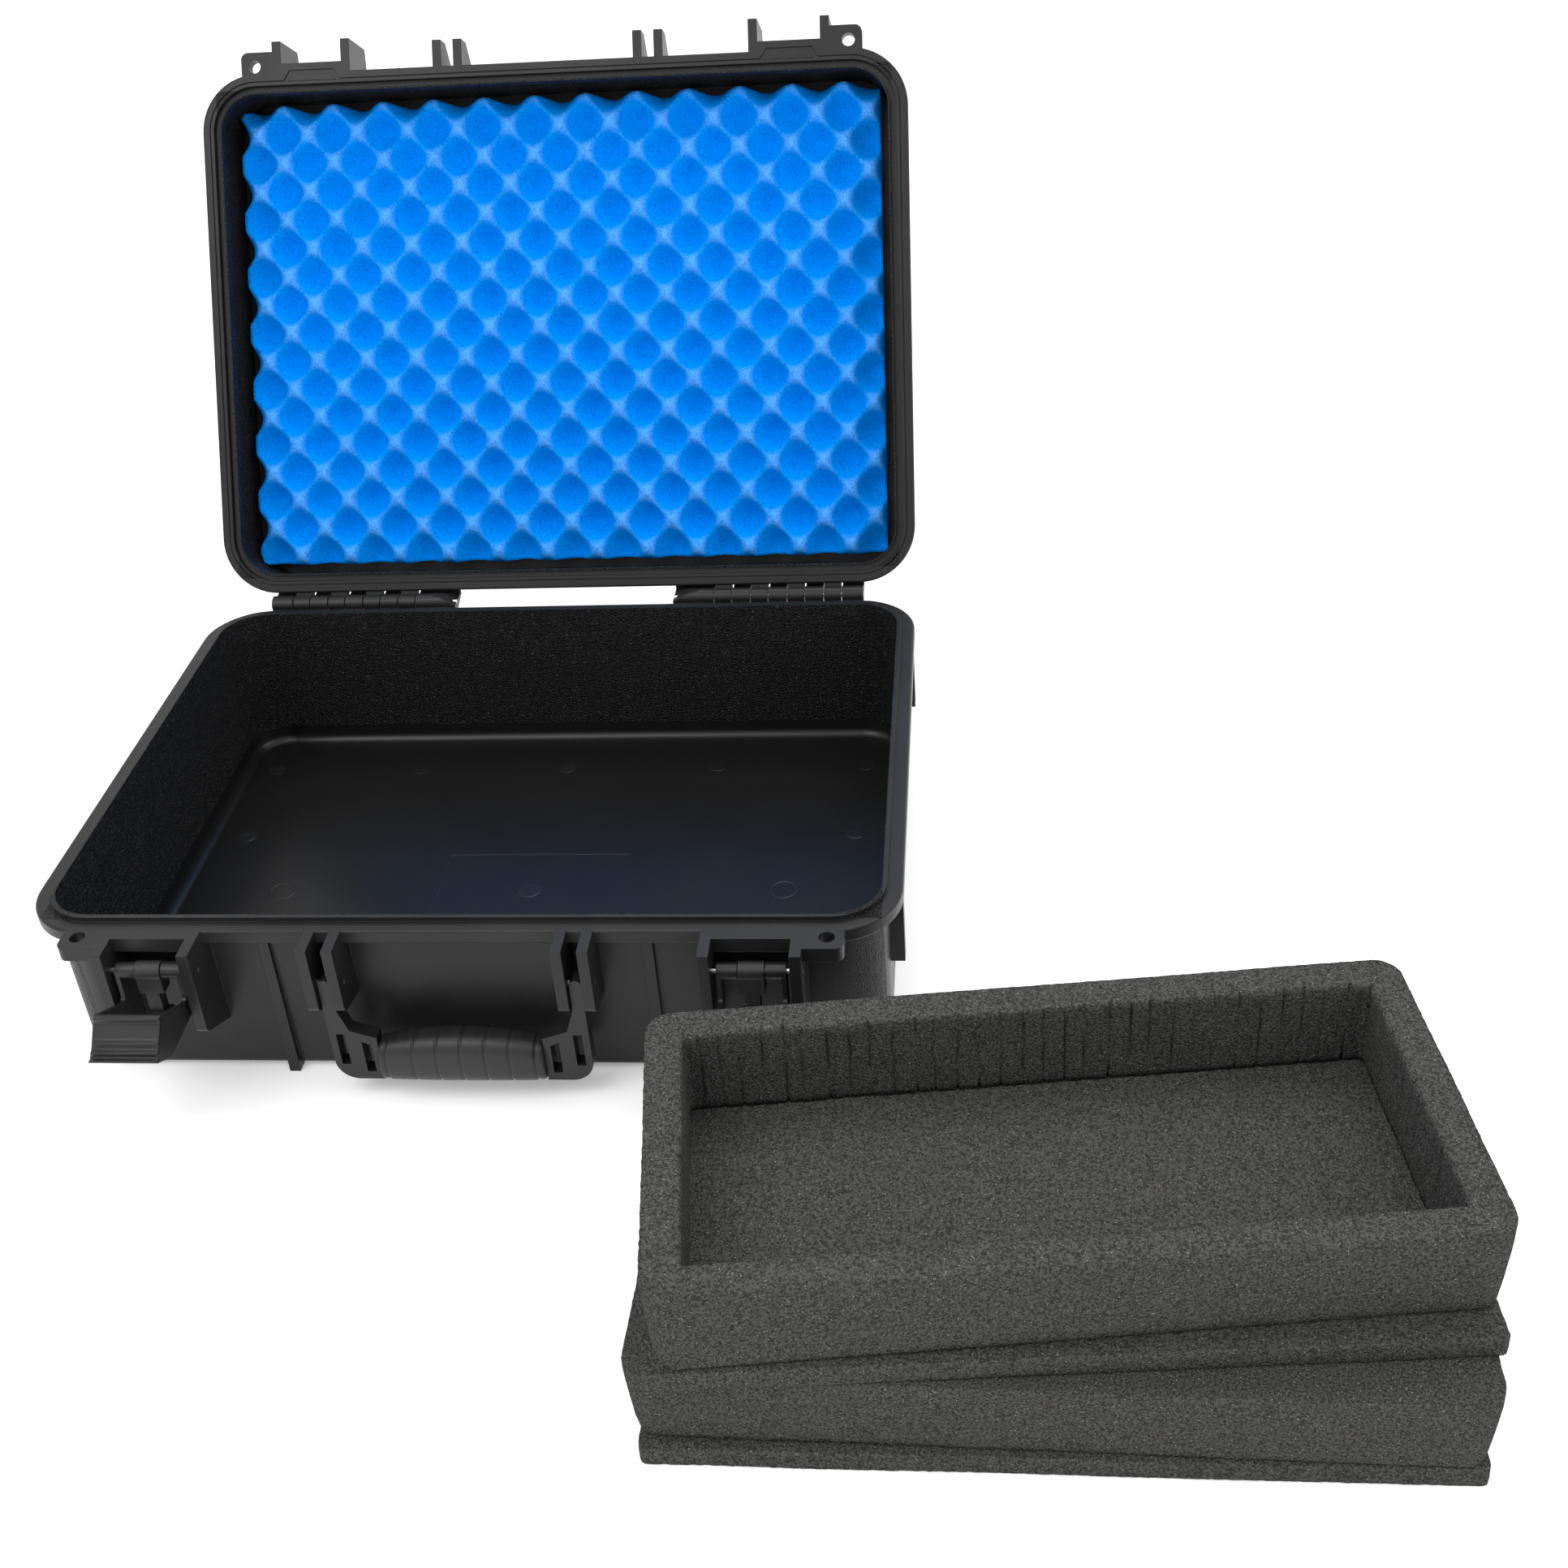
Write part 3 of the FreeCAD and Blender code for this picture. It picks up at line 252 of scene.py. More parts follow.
def shell_plastic(name, floor, wall, plane_normal, plane_place):
    """Moulded case plastic: satin outside, leather grain on the inner walls, smooth inner floor, the
    inside darkened by painted shade.

    plane_normal and plane_place give the direction and start of the height, floor and wall the
    heights at which the inner floor and the inner walls begin.
    """
    recipe = Recipe(name, (0.016, 0.0165, 0.0175), 0.42, Specular_IOR_Level=0.28)
    height = recipe.run(plane_normal, plane_place)
    across = recipe.run((1, 0, 0))
    along = recipe.run(Vector((1, 0, 0)).cross(Vector(plane_normal)), plane_place)
    in_width = recipe.calc("LESS_THAN", recipe.calc("ABSOLUTE", across), INNER_HALF_WIDTH)
    in_depth = recipe.calc("LESS_THAN", recipe.calc("ABSOLUTE", along), INNER_HALF_DEPTH)
    above = recipe.calc("GREATER_THAN", height, floor - 0.5 * MM)
    inside = recipe.calc("MULTIPLY", recipe.calc("MULTIPLY", in_width, in_depth), above)
    is_wall = recipe.calc("MULTIPLY", inside, recipe.fade(height, wall, wall + 3 * MM))
    is_floor = recipe.calc("MULTIPLY", inside, recipe.calc("SUBTRACT", 1.0, is_wall))
    outside = wear(recipe, (0.0105, 0.0106, 0.0110), (0.017, 0.0172, 0.018), 0.8)
    # Painted shade: the inner walls and the inner floor get darker colours than the outside.
    shade = recipe.blend(is_wall, outside, (0.0065, 0.0066, 0.0069))
    shade = recipe.blend(is_floor, shade, (0.0062, 0.0062, 0.0064))
    recipe.set("Base Color", shade)
    smear = recipe.grain(14.0, 4.0, 0.6, 0.6)
    satin = recipe.spread(smear, 0.30, 0.42)
    gloss = recipe.spread(smear, 0.24, 0.38)
    rough = recipe.add("ShaderNodeMix", {0: is_floor, 2: satin, 3: gloss}).outputs[0]
    rough = recipe.add("ShaderNodeMix", {0: is_wall, 2: rough, 3: 0.40}).outputs[0]
    recipe.set("Roughness", rough)
    creases = recipe.cells(620.0, "DISTANCE_TO_EDGE")
    pebbles = recipe.fade(creases, 0.0, 0.30)
    leather = recipe.calc("MULTIPLY", pebbles, is_wall)
    skin = recipe.bump(leather, 0.95 * MM, edge=0.7 * MM)
    mould = recipe.grain(2600.0, 2.0)
    outer = recipe.calc("MULTIPLY", mould, recipe.calc("SUBTRACT", 1.0, is_floor))
    recipe.bump(outer, 0.05 * MM, under=skin)
    return recipe.material


def hardware_plastic(name, color, lighter, roughness, grain_depth):
    """Moulded nylon of latches and handle, with softened edges."""
    recipe = Recipe(name, color, roughness, Specular_IOR_Level=0.36)
    recipe.set("Base Color", wear(recipe, color, lighter, 0.9))
    recipe.set("Roughness", recipe.spread(recipe.grain(40.0, 4.0), roughness - 0.08, roughness + 0.08))
    recipe.bump(recipe.grain(1500.0, 3.0), grain_depth, edge=0.5 * MM)
    return recipe.material


def grip_rubber():
    """Soft overmoulded rubber with faint rubbed streaks round the grip."""
    recipe = Recipe("grip_rubber_look", (0.02, 0.02, 0.021), 0.42, Specular_IOR_Level=0.36)
    stretched = recipe.add("ShaderNodeMapping", {"Vector": recipe.place, "Scale": (9.0, 1.0, 1.0)})
    streaks = recipe.add("ShaderNodeTexNoise", {
        "Vector": stretched.outputs["Vector"], "Scale": 55.0, "Detail": 5.0}).outputs["Fac"]
    recipe.set("Base Color", recipe.blend(streaks, (0.009, 0.009, 0.0095), (0.020, 0.020, 0.021)))
    recipe.set("Roughness", recipe.spread(streaks, 0.30, 0.50))
    recipe.bump(recipe.grain(1800.0, 2.0), 0.05 * MM)
    return recipe.material


def pin_steel():
    """Ground steel, a little scratched."""
    recipe = Recipe("pin_steel_look", (0.62, 0.62, 0.63), 0.28, Metallic=1.0)
    scratches = recipe.grain(900.0, 4.0, 0.7)
    recipe.set("Base Color", recipe.blend(scratches, (0.50, 0.50, 0.51), (0.74, 0.74, 0.75)))
    recipe.set("Roughness", recipe.spread(scratches, 0.20, 0.40))
    recipe.bump(scratches, 0.02 * MM)
    return recipe.material


def seal_rubber():
    """Matte black seal."""
    recipe = Recipe("seal_rubber_look", (0.008, 0.008, 0.009), 0.6)
    dust = recipe.grain(300.0, 4.0)
    recipe.set("Base Color", recipe.blend(dust, (0.007, 0.007, 0.008), (0.016, 0.016, 0.017)))
    recipe.bump(dust, 0.05 * MM)
    return recipe.material


def foam_look(name, dark, middle, light, pore_scale, pore_depth, cups=None):
    """Open-cell foam: fine pores and painted glints on scattered cells.

    cups is the outward direction, the level of the peaks and the depth of the hollows,
    which get painted shade while the peaks get a painted highlight.
    """
    recipe = Recipe(name, middle, 1.0, Specular_IOR_Level=0.0)
    pores = recipe.cells(pore_scale)
    speckle = recipe.grain(pore_scale * 0.8, 2.0, 0.7)
    if cups:
        outward, peaks, depth = cups
        # Painted shade and highlight: the hollows keep the middle tone and the peaks take the light
        # tone.
        raised = recipe.fade(recipe.run(outward), peaks - 0.38 * depth, peaks - 0.01 * depth)
        shade = recipe.blend(raised, middle, light)
        coarse = recipe.grain(pore_scale * 0.45, 2.0, 0.7)
        shade = recipe.blend(recipe.calc("MULTIPLY", recipe.fade(coarse, 0.50, 0.66), 0.45), shade, dark)
    else:
        shade = recipe.blend(recipe.fade(speckle, 0.36, 0.62), dark, middle)
        # Painted glints: scattered cells take the light tone.
        glint_cells = recipe.calc("LESS_THAN", recipe.cells(pore_scale * 0.6), 0.17)
        chosen = recipe.fade(recipe.grain(pore_scale * 0.5, 1.0, 0.5), 0.50, 0.60)
        painted_glints = recipe.calc("MULTIPLY", glint_cells, chosen)
        shade = recipe.blend(recipe.calc("MULTIPLY", painted_glints, 0.8), shade, light)
    recipe.set("Base Color", shade)
    rough = recipe.bump(pores, pore_depth)
    recipe.bump(speckle, pore_depth * 0.7, under=rough)
    return recipe.material


# ---- Mesh helpers ----

def new_piece(name, points, faces, material):
    """A mesh object from points and faces."""
    mesh = bpy.data.meshes.new(name)
    mesh.from_pydata([tuple(point) for point in points], [], faces)
    mesh.validate()
    mesh.materials.append(material)
    mesh.polygons.foreach_set("use_smooth", [True] * len(mesh.polygons))
    piece = bpy.data.objects.new(name, mesh)
    bpy.context.scene.collection.objects.link(piece)
    return piece


def ring_faces(rings, count, closed=False):
    """Quads between rings of points, numbered ring by ring."""
    faces = []
    pairs = [(ring, ring + 1) for ring in range(rings - 1)]
    if closed:
        pairs.append((rings - 1, 0))
    for lower, upper in pairs:
        for index in range(count):
            following = (index + 1) % count
            faces.append((lower * count + index, lower * count + following,
                          upper * count + following, upper * count + index))
    return faces


def rounded_outline(width, depth, radius, counts):
    """Points round a rounded rectangle, anticlockwise, and their outward directions.

    counts gives the points on a long side, a short side and a corner, so that outlines of
    different sizes still match point by point.
    """
    half_x, half_y = width / 2 - radius, depth / 2 - radius
    long_count, short_count, corner_count = counts
    sides = [
        ((half_x, -half_y), (half_x, half_y), (1, 0), short_count),
        ((half_x, half_y), (-half_x, half_y), (0, 1), long_count),
        ((-half_x, half_y), (-half_x, -half_y), (-1, 0), short_count),
        ((-half_x, -half_y), (half_x, -half_y), (0, -1), long_count),
    ]
    points, outward = [], []
    for start, end, normal, count in sides:
        for share in np.linspace(0, 1, count, endpoint=False):
            spot = np.array(start) * (1 - share) + np.array(end) * share
            points.append(spot + radius * np.array(normal))
            outward.append(normal)
        first = math.atan2(normal[1], normal[0])
        for share in np.linspace(0, 1, corner_count, endpoint=False):
            angle = first + share * math.pi / 2
            direction = np.array((math.cos(angle), math.sin(angle)))
            points.append(np.array(end) + radius * direction)
            outward.append(direction)
    return np.array(points), np.array(outward)


def capped_faces(rings, count):
    """Faces of a tube of rings, closed at its first and last ring."""
    faces = ring_faces(rings, count)
    faces.append(tuple(reversed(range(count))))
    faces.append(tuple((rings - 1) * count + index for index in range(count)))
    return faces


def soft_noise(place, scale, seed):
    """Smooth noise, about -1..1, the same on each run."""
    return noise.noise(Vector((place[0] * scale + seed, place[1] * scale - seed, place[2] * scale)))


# ---- The lid's egg-crate foam ----

COLUMN_PITCH = 37.0 * MM
ROW_PITCH = 20.3 * MM
DIMPLE_DEPTH = 15.0 * MM
DIMPLE_RADIUS = 21.0 * MM
DIMPLE_LEAN = 0.16
EDGE_WAVE = 1.6 * MM
EDGE_FADE = 10.0 * MM
EDGE_DRAW_IN = 0.35
EDGE_ROUND = 2.5 * MM
CRATE_CORNER = 7.0 * MM
CRATE_STEP = 2.2 * MM
DIMPLE_X = 226.0 * MM
DIMPLE_Y = -126.0 * MM
SKIRT_SHARES = (0.35, 0.7, 1.0)
SKIRT_TAPER = 0.006
# Size, scale per metre and seed of each unevenness of the dimpled side.
CRATE_GRAIN = ((0.35 * MM, 260.0, 0.0), (0.8 * MM, 22.0, 3.0))


def lid_opening():
    """Matrix that carries a point of the shut lid to where it is with the lid open."""
    hinge = find_joint("lid_hinge")
    pivot = Matrix.Translation(hinge["pos_m"])
    turn = Matrix.Rotation(-math.radians(hinge["range_deg"][1]), 4, Vector(hinge["axis"]))
    return pivot @ turn @ pivot.inverted()


def shut_box(node):
    """Lowest and highest corner of a lid node with the lid shut."""
    shut = lid_opening().inverted()
    places = np.array([shut @ vertex.co for vertex in frame["nodes"][node].data.vertices])
    return places.min(0), places.max(0)


def crate_cups(x_places, y_places):
    """How deep each place lies in a dimple, 0..1, and the wave that runs with the dimples."""
    across = (x_places - DIMPLE_X) / COLUMN_PITCH
    along = (y_places - DIMPLE_Y) / (2 * ROW_PITCH)
    wave = -(np.cos(2 * math.pi * across) * np.cos(2 * math.pi * along))
    cups = np.zeros_like(x_places)
    for shift in (0.0, 0.5):
        off_x = (across + shift + 0.5) % 1.0 - 0.5
        off_y = (along + shift + 0.5) % 1.0 - 0.5
        reach = DIMPLE_RADIUS * (1 - DIMPLE_LEAN * np.sin(2 * math.pi * off_x))
        gap = np.hypot(off_x * COLUMN_PITCH, off_y * 2 * ROW_PITCH) / reach
        cups = np.maximum(cups, 0.5 + 0.5 * np.cos(math.pi * np.clip(gap, 0, 1)))
    return cups, wave


def wave_edges(x_places, y_places, level, wave, low, high):
    """Moves the edges of the sheet in and out with the dimples, and rounds them off."""
    for places, edge_low, edge_high in ((x_places, low[0], high[0]), (y_places, low[1], high[1])):
        near_low = np.clip(1 - (places - edge_low) / EDGE_FADE, 0, 1) ** 2
        near_high = np.clip(1 - (edge_high - places) / EDGE_FADE, 0, 1) ** 2
        places += EDGE_WAVE * (wave - EDGE_DRAW_IN) * (near_high - near_low)
        level += EDGE_ROUND * (near_low + near_high)


def round_corners(x_places, y_places, low, high):
    """Draws the four corners of the sheet in to arcs."""
    middle = (low + high) / 2
    for sign_x in (-1, 1):
        for sign_y in (-1, 1):
            centre_x = middle[0] + sign_x * ((high[0] - low[0]) / 2 - CRATE_CORNER)
            centre_y = middle[1] + sign_y * ((high[1] - low[1]) / 2 - CRATE_CORNER)
            away_x, away_y = x_places - centre_x, y_places - centre_y
            distance = np.hypot(away_x, away_y)
            past = (away_x * sign_x > 0) & (away_y * sign_y > 0) & (distance > CRATE_CORNER)
            shrink = np.where(past, CRATE_CORNER / np.maximum(distance, MM), 1.0)
            x_places[past] = (centre_x + away_x * shrink)[past]
            y_places[past] = (centre_y + away_y * shrink)[past]


def crate_top(low, high):
    """Points of the dimpled side, row by row, and the numbers of rows and columns."""
    columns = int((high[0] - low[0]) / CRATE_STEP)
    rows = int((high[1] - low[1]) / CRATE_STEP)
    x_places, y_places = np.meshgrid(np.linspace(low[0], high[0], columns),
                                     np.linspace(low[1], high[1], rows))
    cups, wave = crate_cups(x_places, y_places)
    level = low[2] + DIMPLE_DEPTH * cups
    wave_edges(x_places, y_places, level, wave, low, high)
    round_corners(x_places, y_places, low, high)
    top = np.stack([x_places, y_places, level], axis=-1).reshape(-1, 3)
    for point in top:
        for size, scale, seed in CRATE_GRAIN:
            point[2] += size * soft_noise(point, scale, seed)
    return top, rows, columns


def crate_border(rows, columns):
    """Numbers of the points round the edge of the grid, in order."""
    border = list(range(columns))
    border += [row * columns + columns - 1 for row in range(1, rows)]
    border += [(rows - 1) * columns + column for column in range(columns - 2, -1, -1)]
    border += [row * columns for row in range(rows - 2, 0, -1)]
    return border


def make_egg_crate(material):
    """Convoluted foam sheet: rows of round dimples, each row half a pitch along."""
    low, high = shut_box("lid_foam")
    middle = (low + high) / 2
    top, rows, columns = crate_top(low, high)
    points = list(top)
    faces = []
    for row in range(rows - 1):
        for column in range(columns - 1):
            corner = row * columns + column
            faces.append((corner, corner + columns, corner + columns + 1, corner + 1))
    border = crate_border(rows, columns)
    upper = border
    for share in SKIRT_SHARES:
        first = len(points)
        for index in border:
            point = top[index].copy()
            point[2] += (high[2] - point[2]) * share
            point[:2] += (middle[:2] - point[:2]) * SKIRT_TAPER * share
            points.append(point)
        lower = list(range(first, len(points)))
        for index in range(len(border)):
            following = (index + 1) % len(border)
            faces.append((upper[index], upper[following], lower[following], lower[index]))
        upper = lower
    faces.append(tuple(reversed(upper)))
    opening = lid_opening()
    piece = new_piece("lid_egg_crate", [opening @ Vector(point) for point in points], faces, material)
    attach(piece, "lid")
    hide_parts("lid_foam")


# ---- The grey foam inserts ----

LAYER_YAWS = {"foam_pad_base": 0.0, "foam_block_lower": -1.0, "foam_pad_upper": 4.5, "foam_frame": 6.8}
FRAME_WALL = 19.0 * MM
CAVITY_CORNER = 3.0 * MM
BLOCK_CORNER = 14.0 * MM
PAD_CORNER = 4.0 * MM
LAYER_COUNTS = (520, 250, 22)
LAYER_GAP = 0.3 * MM
NICK_PITCH = 11.0 * MM
NICK_DEPTH = 3.0 * MM
NICK_HALF_WIDTH = 0.9 * MM
TOP_INSETS = (6.0 * MM, 14.0 * MM, 30.0 * MM, 55.0 * MM, 80.0 * MM)
TOP_UNEVENNESS = 0.25 * MM
RIM_SHARES = (0.18, 0.4, 0.65, 0.9)
CAVITY_SHARES = (1.0, 0.96, 0.88, 0.76, 0.62, 0.48, 0.34, 0.20, 0.08, 0.0)
CAVITY_LIP = 0.8 * MM
CAVITY_LIP_DROP = 0.6 * MM
FRAME_SEED = 7.0
CAVITY_SEED = 9.0
# Shares of the way up a layer, and how far its side is drawn in there in millimetres.
BLOCK_PROFILE = ((0.0, 4.6), (0.02, 3.8), (0.08, 3.2), (0.18, 2.6), (0.32, 2.0), (0.48, 1.4),
                 (0.64, 0.9), (0.78, 0.5), (0.90, 0.3), (0.98, 0.3), (1.0, 0.7))
PAD_PROFILE = ((0.0, 0.7), (0.06, 0.3), (0.35, 0.2), (0.7, 0.2), (0.94, 0.3), (1.0, 0.7))


def layer_place(node):
    """Width, depth and thickness of a foam layer, and the matrix that places it."""
    yaw = math.radians(LAYER_YAWS[node])
    low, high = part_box(node)
    centre = (low + high) / 2
    square = Matrix.Rotation(-yaw, 3, "Z")
    places = np.array([square @ (vertex.co - centre) for vertex in frame["nodes"][node].data.vertices])
    size = places.max(0) - places.min(0)
    return size, Matrix.Translation(centre) @ Matrix.Rotation(yaw, 4, "Z")


def side_ring(outline, outward, inset, level, seed):
    """One ring of a foam side, drawn in by its inset, with the small unevenness of cut foam."""
    ring = []
    for point, direction in zip(outline, outward):
        spot = np.array((*point, level))
        uneven = 0.35 * MM * soft_noise(spot, 320.0, seed) + 0.5 * MM * soft_noise(spot, 14.0, seed)
        spot[:2] -= np.array(direction) * (inset - min(uneven, inset + 0.2 * MM))
        ring.append(spot)
    return ring


def top_spot(flat, level, seed):
    """A point on a foam layer's slightly uneven top."""
    spot = np.array((flat[0], flat[1], level))
    spot[2] -= TOP_UNEVENNESS * (1 + soft_noise(spot, 240.0, seed))
    return spot


def make_layer(node, material, radius, profile, seed):
    """A solid foam layer with soft edges."""
    size, placing = layer_place(node)
    outline, outward = rounded_outline(size[0], size[1], radius, LAYER_COUNTS)
    half = size[2] / 2
    thickness = size[2] - LAYER_GAP
    points = []
    for share, inset in profile:
        points += side_ring(outline, outward, inset * MM, -half + share * thickness, seed)
    for inset in TOP_INSETS:
        shrink = 1 - inset / (size[1] / 2)
        points += [top_spot(point * shrink, thickness - half, seed) for point in outline]
    faces = capped_faces(len(profile) + len(TOP_INSETS), len(outline))
    piece = new_piece(f"{node}_soft", [placing @ Vector(point) for point in points], faces, material)
    finish_layer(piece, node)


def finish_layer(piece, node):
    """Attaches a foam layer to its body and hides its CAD node."""
    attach(piece, node)
    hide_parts(node)


def nick(distance, level, seed):
    """Depth of the torn perforations on a cavity wall."""
    index = round(distance / NICK_PITCH)
    wander = 3.0 * MM * soft_noise((index * 1.37, 0, 0), 1.0, seed)
    wander += 0.7 * MM * soft_noise((index * 1.37, level * 80, 0), 1.0, seed)
    gap = abs(distance - index * NICK_PITCH - wander)
    torn = max(0.0, 0.35 + 1.1 * soft_noise((index * 1.73, level * 60, 2.0), 1.0, seed + 5))
    return NICK_DEPTH * torn * max(0.0, 1 - gap / NICK_HALF_WIDTH)


def cavity_ring(inner, inner_out, distances, share, level):
    """One ring of the torn cavity walls, wider at the two lips."""
    lip = CAVITY_LIP if share in (1.0, 0.0) else 0.0
    drop = CAVITY_LIP_DROP if share == 1.0 else 0.0
    ring = []
    for point, direction, distance in zip(inner, inner_out, distances):
        spot = np.array((*point, level - drop))
        uneven = 0.5 * MM * soft_noise(spot, 300.0, CAVITY_SEED)
        uneven += 0.6 * MM * soft_noise(spot, 40.0, CAVITY_SEED)
        spot[:2] += np.array(direction) * (nick(distance, level, CAVITY_SEED) + lip + uneven)
        ring.append(spot)
    return ring


def make_frame_layer(material):
    """Foam frame: soft outside, and cavity walls that were torn out along perforations."""
    node = "foam_frame"
    size, placing = layer_place(node)
    outline, outward = rounded_outline(size[0], size[1], BLOCK_CORNER, LAYER_COUNTS)
    inner, inner_out = rounded_outline(size[0] - 2 * FRAME_WALL, size[1] - 2 * FRAME_WALL,
                                       CAVITY_CORNER, LAYER_COUNTS)
    steps = np.linalg.norm(np.roll(inner, -1, axis=0) - inner, axis=1)
    distances = np.concatenate([[0.0], np.cumsum(steps)[:-1]])
    half = size[2] / 2
    points = []
    for share, inset in BLOCK_PROFILE:
        points += side_ring(outline, outward, inset * MM, -half + share * size[2], FRAME_SEED)
    for share in RIM_SHARES:
        flats = outline * (1 - share) + inner * share
        points += [top_spot(flat, half, FRAME_SEED) for flat in flats]
    for share in CAVITY_SHARES:
        points += cavity_ring(inner, inner_out, distances, share, -half + share * size[2])
    rings = len(BLOCK_PROFILE) + len(RIM_SHARES) + len(CAVITY_SHARES)
    faces = ring_faces(rings, len(outline), closed=True)
    piece = new_piece("foam_frame_soft", [placing @ Vector(point) for point in points], faces, material)
    finish_layer(piece, node)


# ---- The carrying handle's grip ----

GRIP_SECTIONS = 161
GRIP_ROUND = 56
GRIP_GROOVES = (-27.0, -13.0, 1.0, 15.0, 29.0)
COLLAR_WIDTH = 4.5 * MM
COLLAR_DROP = 0.5 * MM
COLLAR_GROOVE = 1.0 * MM
BAND_GROOVE = 0.8 * MM
GROOVE_WIDTH = 0.6 * MM
END_ROUND = 1.4 * MM
END_ROUND_LENGTH = 1.2 * MM
GRIP_END_DEPTH = 0.84
GRIP_SQUARENESS = 0.80
GRIP_END_HEIGHT = 27.0 * MM
GRIP_MIDDLE_HEIGHT = 32.5 * MM


def grip_drop(place, half_length):
    """How far the grip's skin lies below its full size at a place along it."""
    end_gap = half_length - abs(place)
    drop = sum(BAND_GROOVE * math.exp(-(abs(place - groove * MM) / GROOVE_WIDTH) ** 2)
               for groove in GRIP_GROOVES)
    if end_gap < COLLAR_WIDTH:
        drop += COLLAR_DROP
    drop += COLLAR_GROOVE * math.exp(-(abs(end_gap - COLLAR_WIDTH) / GROOVE_WIDTH) ** 2)
    return drop + END_ROUND * max(0.0, 1 - end_gap / END_ROUND_LENGTH) ** 2


def grip_ring(place, centre_y, middle, depth, height):
    """One squarish section of the grip."""
    ring = []
    for index in range(GRIP_ROUND):
        angle = 2 * math.pi * index / GRIP_ROUND
        cosine, sine = math.cos(angle), math.sin(angle)
        across = math.copysign(abs(cosine) ** GRIP_SQUARENESS, cosine)
        upward = math.copysign(abs(sine) ** GRIP_SQUARENESS, sine)
        ring.append((place, centre_y + across * depth, middle + upward * height))
    return ring


def make_grip(material):
    """Overmoulded grip: arched top, raised bands between grooves, and a collar at each end."""
    low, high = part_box("handle_grip")
    centre_y = (low.y + high.y) / 2
    half_length = (high.x - low.x) / 2
    half_depth = (high.y - low.y) / 2
    points = []
    for place in np.linspace(-half_length, half_length, GRIP_SECTIONS):
        swell = 1 - (abs(place) / half_length) ** 2
        top = low.z + GRIP_END_HEIGHT + (GRIP_MIDDLE_HEIGHT - GRIP_END_HEIGHT) * swell
        depth = half_depth * (GRIP_END_DEPTH + (1 - GRIP_END_DEPTH) * swell)
        drop = grip_drop(place, half_length)
        points += grip_ring(place, centre_y, (top + low.z) / 2, depth - drop, (top - low.z) / 2 - drop)
    faces = capped_faces(GRIP_SECTIONS, GRIP_ROUND)
    piece = new_piece("handle_grip_bands", points, faces, material)
    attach(piece, "handle")
    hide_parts("handle_grip")


# ---- The latch levers' lips ----

LIP_TOP = (-36.5 * MM, -1.4 * MM)
LIP_FOOT = (-53.5 * MM, -20.7 * MM)
LIP_HALF = 19.2 * MM
LIP_BEADS = ((0.09, 0.055, 2.4), (0.60, 0.050, 1.5), (0.80, 0.050, 1.9), (0.99, 0.060, 3.0))
LIP_ENDS = ((-1.0, 0.0), (-0.97, 0.75), (-0.93, 1.0), (0.93, 1.0), (0.97, 0.75), (1.0, 0.0))
LIP_STEPS = 45
LIP_FLARE = 0.035
LIP_FLARE_START = 0.7
LIP_SINK = 0.6 * MM


def lip_swell(share):
    """How proud the plate stands at a share of the way down it: beads above a hollow."""
    beads = sum(height * math.exp(-((share - place) / width) ** 2) for place, width, height in LIP_BEADS)
    return (0.4 + beads) * MM


def make_lever_lip(word, material):
    """Finger plate over a latch lever's lip: a ridge, a hollow and a flared foot."""
    node = f"latch_lever_{word}"
    pin = Vector(find_joint(f"latch_lever_swing_{word}")["pos_m"])
    low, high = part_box(node)
    middle = (low.x + high.x) / 2
    top, foot = Vector(LIP_TOP), Vector(LIP_FOOT)
    run = (foot - top).normalized()
    outward = Vector((run.y, -run.x))
    if outward.x > 0:
        outward = -outward
    shares = [step / (LIP_STEPS - 1) for step in range(LIP_STEPS)]
    points = []
    for place, rise in LIP_ENDS:
        section = []
        for share in shares:
            flare = 1.0 + LIP_FLARE * max(0.0, (share - LIP_FLARE_START) / (1 - LIP_FLARE_START))
            spot = top + (foot - top) * share + outward * (lip_swell(share) * rise)
            section.append((middle + place * LIP_HALF * flare, spot))
        for share in reversed(shares):
            spot = top + (foot - top) * share - outward * LIP_SINK
            section.append((middle + place * LIP_HALF, spot))
        points += [(across, pin.y + spot.x, pin.z + spot.y) for across, spot in section]
    faces = capped_faces(len(LIP_ENDS), 2 * LIP_STEPS)
    piece = new_piece(f"{node}_lip", points, faces, material)
    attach(piece, node)


# ---- Mould marks on the base's floor ----

FLOOR_LEVEL = 6.0 * MM
MARK_PROUD = 0.12 * MM
MARK_SINK = 0.02 * MM
PANEL_Y = -6.5 * MM
PANEL_SIZE = (124.0 * MM, 67.0 * MM)
PANEL_CORNER = 3.0 * MM


def round_mark(name, place, radius, ring, material):
    """Disc or ring left on the floor by an ejector pin."""
    count = 40
    radii = (radius, radius - 0.25 * MM, radius - 0.7 * MM, radius - 1.0 * MM)
    levels = (0.0, MARK_PROUD, MARK_PROUD, 0.0) if ring else (0.0, MARK_PROUD, MARK_PROUD, MARK_PROUD)
    points = []
    for size, level in zip(radii, levels):
        for index in range(count):
            angle = 2 * math.pi * index / count
            points.append((place[0] + size * math.cos(angle), place[1] + size * math.sin(angle),
                           FLOOR_LEVEL - MARK_SINK + level))
    faces = ring_faces(len(radii), count)
    if not ring:
        faces.append(tuple((len(radii) - 1) * count + index for index in range(count)))
    piece = new_piece(name, points, faces, material)
    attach(piece, "base")


